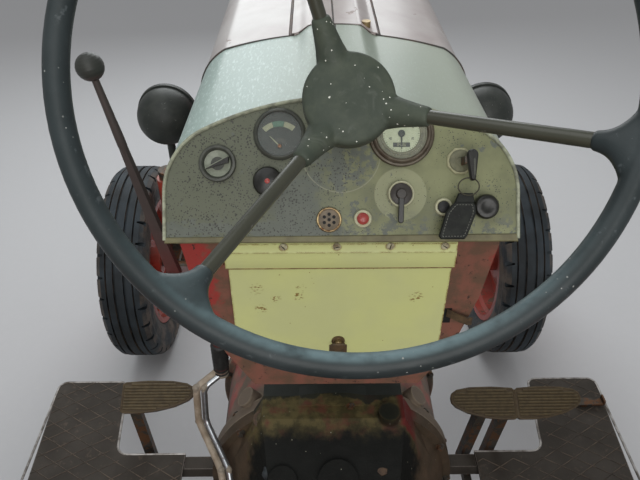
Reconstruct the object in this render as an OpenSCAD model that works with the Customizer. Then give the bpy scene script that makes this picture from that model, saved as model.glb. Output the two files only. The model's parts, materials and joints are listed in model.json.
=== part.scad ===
// Small vintage farm tractor with a grey dash cowl, butterfly bonnet and open driving place.
// Millimetres, +Y is forward, +X is the right-hand side, the wheels stand on z = 0.
// Lengths along Y are measured from the rear axle; on_axle() then centres the whole on the origin.

/* [Stance] */
// Distance from rear axle to front axle
wheelbase = 1900; // [1820:5:1980]
// Distance between the rear tyres' centre planes
rear_track = 1250; // [1240:2:1290]
// Distance between the front tyres' centre planes
front_track = 1224; // [1210:2:1260]
// Furthest turn of a front wheel either way, degrees
steer_max = 36; // [20:1:38]

/* [Rear wheels] */
// Rolling radius of a rear tyre, out to the lug tips
rear_r = 610; // [600:1:620]
// Width of a rear tyre
rear_w = 284; // [264:2:288]
// Radius of the rear rim's bead seat
rear_rim_r = 356; // [345:1:362]
// Half width between the rear rim's flanges
rear_rim_half = 118; // [105:1:122]
// Height of a rear tyre's lugs
lug_h = 30; // [22:1:36]
// Number of lugs along one side of a rear tyre
lug_n = 20; // [16:4:24]
// Width of a lug
lug_w = 34; // [28:1:40]
// Radius of the rear axle shafts
half_shaft_r = 32; // [28:1:36]
// Number of hand holes in a rear wheel disc
disc_holes = 6; // [4:1:8]

/* [Front wheels] */
// Radius of a front tyre
front_r = 325; // [315:1:335]
// Width of a front tyre
front_w = 146; // [136:2:152]
// Radius of the front rim's bead seat
front_rim_r = 203; // [196:1:208]
// Half width between the front rim's flanges
front_rim_half = 57; // [50:1:60]
// Number of notches along one shoulder of a front tyre
notch_n = 30; // [20:1:34]
// Depth of a notch below the tread
notch_depth = 24; // [14:1:28]
// Distance of the kingpins from the centre plane
kingpin_x = 490; // [480:1:494]
// Radius of a kingpin
kingpin_r = 20; // [17:1:23]
// Radius of a wheel spindle
spindle_r = 21; // [18:1:24]

/* [Front axle and steering] */
// Height of the axle beam's centre
beam_z = 560; // [550:1:575]
// Height of the axle beam's section
beam_h = 80; // [60:1:84]
// Length of the arms that the track rod joins
track_arm = 150; // [130:1:160]
// Length of the arm that the drag link pushes
push_arm = 150; // [135:1:160]
// Length of the drop arm between its shaft and its ball
drop_len = 230; // [210:1:240]

/* [Steering wheel] */
// Radius of the rim's centre line
wheel_r = 210; // [200:1:216]
// Radius of the rim's section
wheel_tube = 9.4; // [8:0.1:11]
// Distance of the rim's centre ahead of the rear axle
wheel_y = 648; // [640:1:656]
// Height of the rim's centre
wheel_z = 1529; // [1515:1:1540]
// Slope of the column below the level
column_angle = 37; // [35:0.5:39]
// Depth of the boss below the rim's plane
wheel_dish = 101; // [90:1:110]
// Radius of the boss cap
boss_r = 41; // [36:1:46]
// Distance of the dash face below the rim's plane, along the column
dash_depth = 270; // [262:1:278]

/* [Cowl and bonnet] */
// Half width of the dash and of the bonnet
hood_half = 200; // [194:1:204]
// Height of the bonnet's side shoulders' centre
shoulder_z = 1297; // [1290:1:1304]
// Radius of the shoulders
shoulder_r = 79; // [70:1:84]
// Height of the bonnet's crown
crown_z = 1390; // [1384:1:1396]
// Where the bonnet meets the cowl, ahead of the rear axle
seam_y = 1111; // [1100:1:1122]
// Length of the bonnet wings
wing_len = 830; // [800:5:850]
// Thickness of the sheet metal
sheet = 3; // [2:0.5:4]
// Width of the raised centre band at its foot
band_w = 116; // [104:2:124]
// Height of the centre band above the crown
band_h = 13; // [9:1:16]
// Lower edge of the bonnet wings
wing_z = 1060; // [1030:5:1090]

/* [Dash support] */
// Distance of the toolbox front ahead of the rear axle
support_y = 815; // [808:1:822]
// Width of the toolbox lid
lid_w = 272; // [260:1:276]
// Height of the toolbox lid
lid_h = 156; // [146:1:160]
// Height of the lid's hinge line
lid_z = 1212; // [1206:1:1216]

/* [Drive line] */
// Height of the crankshaft line
crank_z = 555; // [548:1:562]
// Radius of the clutch housing's flanges
bell_r = 238; // [228:1:244]
// Where clutch housing and gearbox meet, ahead of the rear axle
bell_y = 950; // [940:1:960]
// Length of the clutch housing
bell_len = 220; // [210:1:226]
// Length of the engine block
engine_len = 560; // [540:5:580]
// Half width of the engine block
engine_half = 140; // [130:1:146]

/* [Driving place] */
// Height of the foot plates' upper face
plate_z = 503; // [496:1:508]
// Outer edge of the foot plates
plate_x = 650; // [640:1:660]
// Front edge of the foot plates, ahead of the rear axle
plate_front = 1218; // [1205:1:1225]
// Gap between a rear tyre and its fender
fender_gap = 42; // [34:1:50]

/* [Hidden] */
$fn = 48;

// Clearance of parts that turn on a pin
run = 0.25;
// Gap that seats a piece on a curved neighbour
fit = 0.3;
// Gap round a moving panel
seam = 5;

front_y = wheelbase;
fender_r = rear_r + fender_gap;
y_mid = (wheelbase + front_r - fender_r - sheet) / 2;
rear_x = rear_track / 2;
front_x = front_track / 2;
bell_front = bell_y + bell_len;
engine_front = bell_front + engine_len;
wing_front = seam_y + wing_len;
// Turn of the shoulders from the sides to the crown, degrees
shoulder_turn = 62;

module on_axle() { translate([0, -y_mid, 0]) children(); }

// Both hands of a piece that is drawn for the right-hand side
module both() {
    children();
    mirror([1, 0, 0]) children();
}

// Frame of the steering column: z up along it from the rim's centre, y up in the rim's plane
module on_column(d = 0) {
    translate([0, wheel_y, wheel_z]) rotate([90 - column_angle, 0, 0])
        translate([0, 0, -d]) children();
}

// Round rod from a to b
module rod(a, b, r) {
    d = b - a;
    translate(a) rotate([0, acos(d[2] / norm(d)), atan2(d[1], d[0])]) cylinder(r = r, h = norm(d));
}

// Round rod from a to b with a ball knob at its end
module knob_rod(a, b, r, knob) {
    d = b - a;
    translate(a) rotate([0, acos(d[2] / norm(d)), atan2(d[1], d[0])]) rotate([0, 0, 40]) {
        cylinder(r = r, h = norm(d) - knob * 0.5);
        translate([0, 0, norm(d)]) rotate_extrude() polygon(concat([[0, -knob * sin(75)]],
            [for (a = [-75:15:75]) [knob * cos(a), knob * sin(a)]], [[0, knob * sin(75)]]));
    }
}

// Taper from a to b
module taper(a, b, r1, r2) {
    d = b - a;
    translate(a) rotate([0, acos(d[2] / norm(d)), atan2(d[1], d[0])])
        cylinder(r1 = r1, r2 = r2, h = norm(d));
}

// Flat bar from a to b, t thick across the plane that holds it and w wide in that plane
module bar(a, b, w, t) {
    d = b - a;
    translate(a) rotate([0, acos(d[2] / norm(d)), atan2(d[1], d[0])])
        translate([-w / 2, -t / 2, 0]) cube([w, t, norm(d)]);
}

// Flat blade from a to b, t thick, that narrows from w1 to w2
module blade(a, b, w1, w2, t) {
    d = b - a;
    translate(a) rotate([0, acos(d[2] / norm(d)), atan2(d[1], d[0])])
        translate([0, t / 2, 0]) rotate([90, 0, 0]) linear_extrude(height = t)
            polygon([[-w1 / 2, 0], [w1 / 2, 0], [w2 / 2, norm(d)], [-w2 / 2, norm(d)]]);
}

// Square bar from a to b that stands on its edge, r from its middle to an edge
module edge_bar(a, b, r) {
    d = b - a;
    translate(a) rotate([0, acos(d[2] / norm(d)), atan2(d[1], d[0])]) cylinder(r = r, h = norm(d), $fn = 4);
}

// Points of a rounded corner, from angle a0 to a1
function corner(x, y, r, a0, a1) = [for (i = [0:5]) let (a = a0 + (a1 - a0) * i / 5)
    [x + r * cos(a), y + r * sin(a)]];

module block(x0, x1, y0, y1, z0, z1) {
    translate([x0, y0, z0]) cube([x1 - x0, y1 - y0, z1 - z0]);
}

// Cylinder along Y from y0 to y1
module ycyl(r, y0, y1, x = 0, z = 0) {
    translate([x, y1, z]) rotate([90, 0, 0]) cylinder(r = r, h = y1 - y0);
}

// Cylinder along X from x0 to x1
module xcyl(r, x0, x1, y = 0, z = 0) {
    translate([x0, y, z]) rotate([0, 90, 0]) cylinder(r = r, h = x1 - x0);
}

// Section of cowl and bonnet: straight sides, round shoulders and a flat crown arc.
// half: half width, low: lower edge, sh: height of the shoulder centres, r: their radius, top: crown
function arch_pts(half, low, sh, r, top, n = 7) = let (
    c = half - r,
    a1 = shoulder_turn,
    p = [c + r * cos(a1), sh + r * sin(a1)],
    k = (p[0] * p[0] + pow(top - p[1], 2)) / (2 * (top - p[1])),
    a2 = asin(p[0] / k))
    concat(
        [[half, low]],
        [for (i = [0:n]) [c + r * cos(a1 * i / n), sh + r * sin(a1 * i / n)]],
        [for (i = [1:n]) let (a = a2 * (1 - i / n)) [k * sin(a), top - k + k * cos(a)]]);

function arch(half, low, sh, r, top) = let (h = arch_pts(half, low, sh, r, top))
    concat(h, [for (i = [len(h) - 2:-1:0]) [-h[i][0], h[i][1]]]);

// Drive line

// Bell of the gearbox, shared with what seats on it
bell_back = bell_y - 180;
// Step between the bell's flanges and its waist, and the flanges' thickness
bell_step = 14;
bell_flange = 22;
module bell_cone(grow = 0) {
    translate([0, bell_back, crank_z]) rotate([-90, 0, 0])
        cylinder(r1 = 165 + grow, r2 = bell_r - bell_step + grow, h = 158);
}

// Flat pads on both sides of the joint of gearbox and clutch housing
pad_half = 126;
pad_len = 84;
pad_z = crank_z + bell_r - 8;
// Lifting bosses on the clutch housing: lean, radius
boss_lean = 42;
boss_size = 20;
// Slope of the gearbox cover behind its pad, degrees
cover_slope = 29;
// Height of its rear end, and where its sides stand on the case
cover_back = 712;
cover_foot = 600;
cover_side = 660;
module cover_section(half, top, side) {
    polygon([[-side, cover_foot], [side, cover_foot], [side, cover_side], [half, top], [-half, top],
        [-side, cover_side]]);
}
// Caps on the cover: side, radius, height
CAPS = [[6, 34, 16], [-88, 25, 12]];
module gearbox_cover() {
    hull() {
        translate([0, bell_y, 0]) rotate([90, 0, 0]) linear_extrude(height = 50)
            cover_section(pad_half, pad_z, 186);
        translate([0, bell_back + 4, 0]) rotate([90, 0, 0]) linear_extrude(height = 4)
            cover_section(105, cover_back, 127);
    }
    translate([98, bell_y - 46, pad_z - 4]) cylinder(r = 19, h = 18);
    for (c = CAPS)
        translate([c[0], bell_back + 42, cover_back + 20]) rotate([cover_slope, 0, 0])
            cylinder(r = c[1], h = c[2]);
}

// Rear case: half width, back and front, foot and top
case_half = 160;
case_back = -185;
case_front = 215;
case_foot = 430;
case_top = 790;
// Gear levers' tower and the power take-off's line
tower_y = 640;
tower_z = 688;
tower_h = 26;
pto_z = 640;
module gearbox() {
    on_axle() color("#4a3f36") difference() {
        union() {
            block(-case_half, case_half, case_back, case_front, case_foot, case_top);
            block(-125, 125, case_front, bell_back, 415, 690);
            bell_cone();
            gearbox_cover();
            ycyl(bell_r, bell_y - 24, bell_y, 0, crank_z);
            ycyl(96, case_back, case_front, 0, case_top);
            translate([0, tower_y, tower_z]) cylinder(r = 62, h = tower_h);
            translate([0, tower_y - 170, tower_z]) cylinder(r = 45, h = 18);
        }
        ycyl(pto_bore, case_back - 5, case_back + 65, 0, pto_z);
    }
}

module clutch_housing() {
    on_axle() color("#6b3a2e") {
        ycyl(bell_r, bell_y, bell_y + bell_flange, 0, crank_z);
        ycyl(bell_r - bell_step, bell_y + bell_flange, bell_front - bell_flange, 0, crank_z);
        ycyl(bell_r, bell_front - bell_flange, bell_front, 0, crank_z);
        block(-pad_half, pad_half, bell_y, bell_y + pad_len, crank_z, pad_z);
        for (a = [boss_lean, -boss_lean]) translate([0, bell_y + 36, crank_z]) rotate([0, a, 0])
            cylinder(r = boss_size, h = bell_r + 9);
    }
}

trumpet_end = rear_x - rear_w / 2 - 30;
// Thickness of a trumpet's flanges at the case and at the wheel
trumpet_root = 24;
trumpet_rim = 14;
module axle_housing() {
    on_axle() color("#4a3f36") both() translate([0, 0, rear_r]) difference() {
        union() {
            xcyl(118, case_half, case_half + trumpet_root);
            translate([case_half + trumpet_root, 0, 0]) rotate([0, 90, 0])
                cylinder(r1 = 96, r2 = 74, h = trumpet_end - trumpet_rim - case_half - trumpet_root);
            xcyl(100, trumpet_end - trumpet_rim, trumpet_end);
        }
        xcyl(half_shaft_r + run, trumpet_end - 130, trumpet_end + 1);
    }
}

head_z = 830;
sump_z = 500;
module engine() {
    on_axle() color("#5c4438") {
        block(-engine_half, engine_half, bell_front, engine_front, sump_z, head_z);
        block(-105, 105, bell_front + 20, engine_front - 20, sump_z - 80, sump_z);
        xcyl(26, -engine_half - 12, -engine_half, bell_front + 120, 600);
        ycyl(75, engine_front, engine_front + 30, 0, crank_z);
    }
}

// Heights of the cylinder head and of its rocker cover
head_h = 95;
rocker_h = 70;
module cylinder_head() {
    on_axle() color("#55483f") {
        block(-115, 115, bell_front + 15, engine_front - 20, head_z, head_z + head_h);
        block(-60, 85, bell_front + 35, engine_front - 45, head_z + head_h, head_z + head_h + rocker_h);
        ycyl(fan_shaft_r, engine_front - 20, engine_front + 74, 0, fan_z);
    }
}

manifold_x = 160;
manifold_z = head_z + 60;
manifold_end = bell_front + 470;
// Distance between cylinders
bore_step = 165;
module manifold() {
    on_axle() color("#3c332e") {
        for (i = [0:2]) xcyl(19, 115, manifold_x, bell_front + 110 + i * bore_step, manifold_z);
        ycyl(exhaust_r + 1, bell_front + 80, manifold_end, manifold_x, manifold_z);
    }
}

module injection_pump() {
    on_axle() color("#6d6a60") {
        block(engine_half, engine_half + 80, bell_front + 150, bell_front + 380, 640, 760);
        for (i = [0:2]) translate([engine_half + 40, bell_front + 200 + i * 60, 760])
            cylinder(r = 11, h = 34);
        for (i = [0:1]) {
            translate([engine_half + 38, bell_front + 440 + i * 84, 650]) cylinder(r = 36, h = 120);
            block(engine_half, engine_half + 12, bell_front + 420 + i * 84, bell_front + 460 + i * 84,
                700, 760);
        }
    }
}

generator_x = engine_half + 66;
generator_z = 740;
module generator() {
    on_axle() color("#39352f") {
        ycyl(52, engine_front - 250, engine_front - 40, -generator_x, generator_z);
        block(-engine_half - 40, -engine_half, engine_front - 200, engine_front - 90,
            generator_z - 40, generator_z - 10);
        ycyl(44, engine_front - 40, engine_front + 2, -generator_x, generator_z);
    }
}

fan_z = 880;
fan_shaft_r = 14;
module fan() {
    on_axle() color("#5a5a52") difference() {
        union() {
            ycyl(44, engine_front + 12, engine_front + 42, 0, fan_z);
            ycyl(30, engine_front + 40, engine_front + 84, 0, fan_z);
            for (i = [0:3]) translate([0, engine_front + 68, fan_z]) rotate([0, i * 90, 0])
                translate([20, 0, 0]) rotate([28, 0, 0]) translate([0, -1.5, -32]) cube([140, 3, 64]);
        }
        ycyl(fan_shaft_r + run, engine_front + 11, engine_front + 76, 0, fan_z);
    }
}

sup_z = 615;
module radiator() {
    on_axle() color("#2f2f2c") {
        block(-165, 165, front_y + 10, front_y + 70, sup_z + 90, 1170);
        block(-170, 170, front_y + 2, front_y + 78, 1170, 1230);
        translate([0, front_y + 40, 1230]) cylinder(r = 30, h = 30);
    }
}

tow_pin_r = 13;
// Half width of the front support, and the axle's pivot pin
sup_half = 115;
pivot_r = 22;
nose_y = front_y + 190;
module front_support() {
    on_axle() color("#6b3a2e") difference() {
        union() {
            block(-sup_half, sup_half, engine_front + 30, nose_y, sup_z, sup_z + 90);
            block(-sup_half, sup_half, engine_front, engine_front + 30, 480, sup_z + 90);
            for (y = [front_y - 88, front_y + 52]) block(-60, 60, y, y + 36, 500, sup_z);
            for (z = [sup_z + 4, sup_z + 62]) {
                block(-38, 38, nose_y, nose_y + 60, z, z + 22);
                translate([0, nose_y + 60, z]) cylinder(r = 38, h = 22);
            }
        }
        ycyl(80, engine_front - 1, engine_front + 32, 0, crank_z);
        ycyl(pivot_r + run, front_y - 100, front_y + 100, 0, beam_z);
        translate([0, nose_y + 62, sup_z]) cylinder(r = tow_pin_r, h = 100);
    }
}

sleeve_low = 452;
sleeve_top = 662;
module front_axle() {
    on_axle() color("#7a2d22") {
        difference() {
            union() {
                block(-kingpin_x + 20, kingpin_x - 20, front_y - 32, front_y + 32,
                    beam_z - beam_h / 2, beam_z + beam_h / 2 - 2);
                ycyl(46, front_y - 50, front_y + 50, 0, beam_z);
                both() translate([kingpin_x, front_y, sleeve_low])
                    cylinder(r = 36, h = sleeve_top - sleeve_low);
            }
            both() translate([kingpin_x, front_y, sleeve_low - 1])
                cylinder(r = kingpin_r + run, h = sleeve_top - sleeve_low + 2);
        }
        ycyl(pivot_r, front_y - 92, front_y + 92, 0, beam_z);
    }
}

// Cowl, bonnet and grille

// Sheet of the bonnet between x0 and x1 (right-hand side), from y0 to y1
module bonnet_sheet(x0, x1, y0, y1, low) {
    translate([0, y1, 0]) rotate([90, 0, 0]) linear_extrude(height = y1 - y0) intersection() {
        difference() {
            polygon(arch(hood_half, low, shoulder_z, shoulder_r, crown_z));
            polygon(arch(hood_half - sheet, low - 1, shoulder_z, shoulder_r - sheet, crown_z - sheet));
        }
        translate([x0, low - 10]) square([x1 - x0, crown_z - low + 20]);
    }
}

// The wings turn on piano hinges along the band's feet
hinge_x = band_w / 2 + 5;
hinge_r = 4;
hinge_pin_r = 2.4;
hinge_z = crown_z - 7;
module bonnet_wing() {
    bonnet_sheet(hinge_x + 3.2, hood_half + 5, seam_y + seam, wing_front - seam, wing_z);
    difference() {
        ycyl(hinge_r, seam_y + seam, wing_front - seam, hinge_x, hinge_z);
        ycyl(hinge_pin_r + run, seam_y, seam_y + 20, hinge_x, hinge_z);
        ycyl(hinge_pin_r + run, wing_front - 20, wing_front, hinge_x, hinge_z);
    }
}
module bonnet_right() { on_axle() color("#8f3b2c") bonnet_wing(); }
module bonnet_left() { on_axle() color("#8f3b2c") mirror([1, 0, 0]) bonnet_wing(); }

// Distance of the band's flat top from its feet
band_side = 24;
module bonnet_band() {
    top = band_w / 2 - band_side;
    on_axle() color("#8f3b2c") difference() {
        union() {
            translate([0, wing_front, 0]) rotate([90, 0, 0]) linear_extrude(height = wing_front - seam_y)
                difference() {
                    polygon([[-band_w / 2, crown_z - 14], [-band_w / 2, crown_z], [-top - 8, crown_z + 2],
                        [-top, crown_z + band_h], [top, crown_z + band_h], [top + 8, crown_z + 2],
                        [band_w / 2, crown_z], [band_w / 2, crown_z - 14]]);
                    polygon([[-band_w / 2 + sheet, crown_z - 15], [-band_w / 2 + sheet, crown_z - 1],
                        [-top - 6, crown_z - 1], [-top + 2, crown_z + band_h - sheet],
                        [top - 2, crown_z + band_h - sheet], [top + 6, crown_z - 1],
                        [band_w / 2 - sheet, crown_z - 1], [band_w / 2 - sheet, crown_z - 15]]);
                }
            both() {
                block(band_w / 2 - 1, hinge_x, seam_y, seam_y + 4, hinge_z - 4, hinge_z + 3);
                ycyl(hinge_pin_r, seam_y, seam_y + 18, hinge_x, hinge_z);
                block(band_w / 2 - 1, hinge_x, wing_front - 4, wing_front, hinge_z - 4, hinge_z + 3);
                ycyl(hinge_pin_r, wing_front - 18, wing_front, hinge_x, hinge_z);
            }
        }
        translate([0, exhaust_y, crown_z - 20]) cylinder(r = exhaust_r + 8, h = 60);
        translate([0, filler_y, crown_z - 20]) cylinder(r = 46, h = 60);
    }
}

nose_end = front_y + 225;
module grille() {
    on_axle() color("#8f3b2c") {
        bonnet_sheet(-hood_half - 1, hood_half + 1, wing_front, nose_end - 20, sup_z + 90);
        translate([0, nose_end, 0]) rotate([90, 0, 0]) linear_extrude(height = 20) difference() {
            polygon(arch(hood_half, sup_z + 90, shoulder_z, shoulder_r, crown_z));
            polygon(arch(hood_half - 32, sup_z + 120, shoulder_z - 10, shoulder_r - 20, crown_z - 40));
        }
        for (i = [0:14]) {
            z = sup_z + 140 + i * 40;
            block(-hood_half + 20, hood_half - 20, nose_end - 18, nose_end - 6, z, z + 16);
        }
        block(-12, 12, nose_end - 19, nose_end - 3, sup_z + 110, crown_z - 30);
        block(-hood_half + 1, hood_half - 1, front_y + 82, nose_end - 19, sup_z + 90, sup_z + 90 + sheet);
    }
}

// The cowl runs from the sloping dash to the upright seam
dash_y = wheel_y + dash_depth * cos(column_angle);
dash_z = wheel_z - dash_depth * sin(column_angle);
dash_low = -124;
dash_top = 38;
dash_sh = -70;
dash_thick = 4;

module dash_outline(grow = 0) {
    polygon(arch(hood_half + 2 + grow, dash_low, dash_sh, shoulder_r + grow, dash_top + grow));
}

// Sections of the cowl from dash to seam, as points in space
cowl_low = 1190;
function dash_point(p, d) = [p[0],
    wheel_y + d * cos(column_angle) + p[1] * sin(column_angle),
    wheel_z - d * sin(column_angle) + p[1] * cos(column_angle)];
// The arch again, with a centre band that rises above its crown
function band_arch(half, low, sh, r, top, rise) = let (
    c = half - r,
    a1 = shoulder_turn,
    p = [c + r * cos(a1), sh + r * sin(a1)],
    k = (p[0] * p[0] + pow(top - p[1], 2)) / (2 * (top - p[1])),
    a2 = asin(p[0] / k),
    a3 = asin(band_w / 2 / k),
    f = band_w / 2 - band_side,
    h = concat([[half, low]],
        [for (i = [0:7]) [c + r * cos(a1 * i / 7), sh + r * sin(a1 * i / 7)]],
        [for (i = [1:4]) let (a = a2 + (a3 - a2) * i / 4) [k * sin(a), top - k + k * cos(a)]],
        [[f + 8, top - k + sqrt(k * k - pow(f + 8, 2)) + rise * 0.15],
            [f, top - k + sqrt(k * k - f * f) + rise],
            [0, top + rise]]))
    concat(h, [for (i = [len(h) - 2:-1:0]) [-h[i][0], h[i][1]]]);
function cowl_ring(g) = [
    [for (p = band_arch(hood_half + 2 - g, dash_low, dash_sh, shoulder_r - g, dash_top - g, 0))
        dash_point(p, dash_depth + dash_thick)],
    [for (p = band_arch(hood_half - g, cowl_low, shoulder_z, shoulder_r - g, crown_z - g, band_h))
        [p[0], seam_y, p[1]]]];

module cowl() {
    o = cowl_ring(0);
    i = cowl_ring(sheet);
    n = len(o[0]);
    pts = concat(o[0], o[1], i[0], i[1]);
    on_axle() color("#8d9184") polyhedron(points = pts, faces = concat(
        [for (k = [0:n - 2]) [k, n + k, k + 1]],
        [for (k = [0:n - 2]) [k + 1, n + k, n + k + 1]],
        [for (k = [0:n - 2]) [2 * n + k, 2 * n + k + 1, 3 * n + k]],
        [for (k = [0:n - 2]) [2 * n + k + 1, 3 * n + k + 1, 3 * n + k]],
        [for (k = [0:n - 2]) [k, k + 1, 2 * n + k]],
        [for (k = [0:n - 2]) [k + 1, 2 * n + k + 1, 2 * n + k]],
        [for (k = [0:n - 2]) [n + k, 3 * n + k, n + k + 1]],
        [for (k = [0:n - 2]) [n + k + 1, 3 * n + k, 3 * n + k + 1]],
        [[0, 2 * n, n], [2 * n, 3 * n, n]],
        [[n - 1, 2 * n - 1, 3 * n - 1], [3 * n - 1, 2 * n - 1, 4 * n - 1]]));
}

// name, across, up, radius, how far it stands out, how deep its face lies
GAUGES = [
    ["light_switch", -140, -41, 21, 8, 4],
    ["temperature", -70.5, -9.5, 29.5, 7, 4],
    ["glow_knob", -79, -62.5, 17, 14, 0.5],
    ["glow_monitor", -14, -103.5, 14.8, 4, 2],
    ["red_lamp", 25, -104, 10.5, 6, 0.5],
    ["start_switch", 70, -75.5, 15, 9, 1],
    ["hour_meter", 69, -7.5, 37.5, 9, 5],
    ["key_switch", 140, -39, 17, 7, 1],
    ["horn_button", 118.5, -91, 10.3, 6, 1.5],
    ["choke_knob", 168, -91.5, 14, 16, 1]];

column_r = 20;
module dash_panel() {
    on_axle() color("#9a9a88") on_column(dash_depth) difference() {
        translate([0, 0, -dash_thick]) linear_extrude(height = dash_thick) dash_outline();
        translate([0, 0, -dash_thick - 1]) cylinder(r = column_r + fit, h = dash_thick + 2);
    }
}

module instruments() {
    on_axle() on_column(dash_depth) for (g = GAUGES)
        color("#2c2c2a") translate([g[1], g[2], 0]) difference() {
            cylinder(r = g[3], h = g[4]);
            translate([0, 0, g[4] - g[5]]) cylinder(r = g[3] * 0.76, h = g[5] + 1);
        }
}

module key_fob() {
    on_axle() color("#2a211c") on_column(dash_depth) {
        translate([138, -45, 7]) cube([4, 12, 14]);
        translate([138, -61, 20]) cube([15, 36, 5]);
        translate([142, -80, 19]) cube([2, 22, 2]);
        translate([0, 0, 17]) linear_extrude(height = 5)
            polygon([[134, -75], [153, -75], [153, -86], [141, -126], [112, -123], [121, -91]]);
    }
}

// Dash support with its toolbox

// Outline of the support: height, half width
SUPPORT = [[1285, hood_half - sheet - fit], [1150, 180], [1052, 155], [983, 118]];
support_len = 235;
// The lid's hinge pins: radius, distance from the support's face
lid_pin_r = 1.6;
lid_off = 5;
module support_shape(g) {
    polygon(concat([for (s = SUPPORT) [s[1] - g, s[0]]],
        [for (i = [3:-1:0]) [-SUPPORT[i][1] + g, SUPPORT[i][0]]]));
}
module toolbox() {
    on_axle() color("#7d4434") difference() {
        union() {
            difference() {
                translate([0, support_y + support_len, 0]) rotate([90, 0, 0])
                    linear_extrude(height = support_len) support_shape(0);
                translate([0, support_y + support_len - sheet, 0]) rotate([90, 0, 0])
                    linear_extrude(height = support_len - 2 * sheet) difference() {
                        support_shape(sheet);
                        translate([-220, 970]) square([440, 13 + sheet]);
                    }
                block(-210, 210, support_y + sheet, support_y + support_len + 1, 1160, 1300);
            }
            block(-lid_w / 2 - 1, lid_w / 2 + 1, support_y + sheet, support_y + 130,
                lid_z - lid_h - 1, lid_z - 8);
            both() {
                block(lid_w / 2 + 0.6, lid_w / 2 + 6, support_y - 9, support_y, lid_z - 4, lid_z + 4);
                xcyl(lid_pin_r, lid_w / 2 - 12, lid_w / 2 + 2, support_y - lid_off, lid_z);
            }
        }
        block(-lid_w / 2 + 8, lid_w / 2 - 8, support_y - 1, support_y + 128, lid_z - lid_h + 8, lid_z - 16);
        block(-210, 210, support_y + 60, support_y + support_len + 1, 1200, 1300);
    }
}

lid_t = 3;
module toolbox_lid() {
    on_axle() color("#cfd0a4") {
        block(-lid_w / 2, lid_w / 2, support_y - lid_off - lid_t, support_y - lid_off,
            lid_z - lid_h, lid_z - 2.6);
        difference() {
            xcyl(2 * lid_pin_r, -lid_w / 2, lid_w / 2, support_y - lid_off, lid_z);
            both() xcyl(lid_pin_r + run, lid_w / 2 - 13, lid_w / 2 + 1, support_y - lid_off, lid_z);
        }
    }
}

// Steering

box_d = 600;
box_half = 60;
box_r = 44;
// Furthest reach of the steering box towards the engine
box_front = wheel_y + (box_d + box_half) * cos(column_angle) + box_r * sin(column_angle);
jacket_top = dash_depth - 124;
shaft_r = 10;
drop_y = 1070;
drop_z = 1110;
drop_x = -222;
drop_shaft_r = 12;
link_pin_r = 9;
module steering_box() {
    on_axle() color("#4a3f36") difference() {
        union() {
            on_column(box_d) cylinder(r = column_r, h = box_d - jacket_top);
            on_column(box_d) translate([0, 0, -box_half]) cylinder(r = box_r, h = 2 * box_half);
            block(-58, 58, support_y + support_len, bell_front - 24, crank_z + 180, 1150);
            xcyl(36, drop_x + 6, 60, drop_y, drop_z);
        }
        block(-300, 300, 0, support_y + support_len, 900, 1190);
        ycyl(bell_r - bell_step + fit, bell_y, bell_front, 0, crank_z);
        on_column(jacket_top + 90) cylinder(r = shaft_r + run, h = 91);
        xcyl(drop_shaft_r + run, drop_x, drop_x + 80, drop_y, drop_z);
    }
}

module drop_arm() {
    on_axle() color("#4a3f36") {
        xcyl(24, drop_x - 22, drop_x, drop_y, drop_z);
        block(drop_x - 20, drop_x - 4, drop_y - 15, drop_y + 15, drop_z - drop_len, drop_z);
        xcyl(20, drop_x - 20, drop_x - 4, drop_y, drop_z - drop_len);
        xcyl(link_pin_r, drop_x - 48, drop_x - 19, drop_y, drop_z - drop_len);
        xcyl(drop_shaft_r, drop_x - 1, drop_x + 76, drop_y, drop_z);
    }
}

push_x = -kingpin_x + push_arm;
push_z = 690;
push_t = 18;
link_ball_z = drop_z - drop_len;
module drag_link() {
    bx = drop_x - 35;
    on_axle() color("#5a4c40") {
        difference() {
            xcyl(20, bx - 12, bx + 12, drop_y, link_ball_z);
            xcyl(link_pin_r + run, bx - 30, bx + 30, drop_y, link_ball_z);
        }
        rod([bx - 2, drop_y + 17, link_ball_z - 3], [push_x - 2, front_y - 15, push_z + 22], 10);
        translate([push_x, front_y, push_z + 5]) cylinder(r = 20, h = 26);
    }
}

// Foot of a knuckle, and its track arm: height, thickness, pin
knuckle_z = 290;
arm_z = 392;
arm_t = 20;
arm_pin_r = 8;
module knuckle(push) {
    translate([kingpin_x, front_y, 0]) {
        translate([0, 0, knuckle_z]) cylinder(r = kingpin_r, h = push_z - knuckle_z - push_t);
        translate([0, 0, knuckle_z]) cylinder(r = 31, h = sleeve_low - knuckle_z - run);
        xcyl(spindle_r, 0, front_x - kingpin_x + 34, 0, front_r);
        xcyl(33, 0, front_x - kingpin_x - 66, 0, front_r);
        block(-16, 16, -track_arm, 0, arm_z, arm_z + arm_t);
        translate([0, -track_arm, arm_z]) cylinder(r = 19, h = arm_t);
        translate([0, -track_arm, arm_z + arm_t]) cylinder(r = arm_pin_r, h = 34);
        translate([0, 0, sleeve_top + run]) cylinder(r = 28, h = push_z - sleeve_top - run);
        if (push) {
            block(-push_arm, 0, -15, 15, push_z - push_t, push_z);
            translate([-push_arm, 0, push_z - push_t]) cylinder(r = 19, h = push_t);
        }
    }
}
module knuckle_right() { on_axle() color("#4f4038") knuckle(false); }
module knuckle_left() { on_axle() color("#4f4038") mirror([1, 0, 0]) knuckle(true); }

module track_rod() {
    y = front_y - track_arm;
    on_axle() color("#4f4038") difference() {
        union() {
            xcyl(13, -kingpin_x + 10, kingpin_x - 10, y, arm_z + arm_t + 16);
            both() translate([kingpin_x, y, arm_z + arm_t + 1]) cylinder(r = 19, h = 30);
        }
        both() translate([kingpin_x, y, arm_z + arm_t - 12]) cylinder(r = arm_pin_r + run, h = 60);
    }
}

// Spoke directions in the rim's plane, degrees from the right-hand side
SPOKES = [-16, 111, 232.5];
spoke_r = 6.2;
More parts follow.
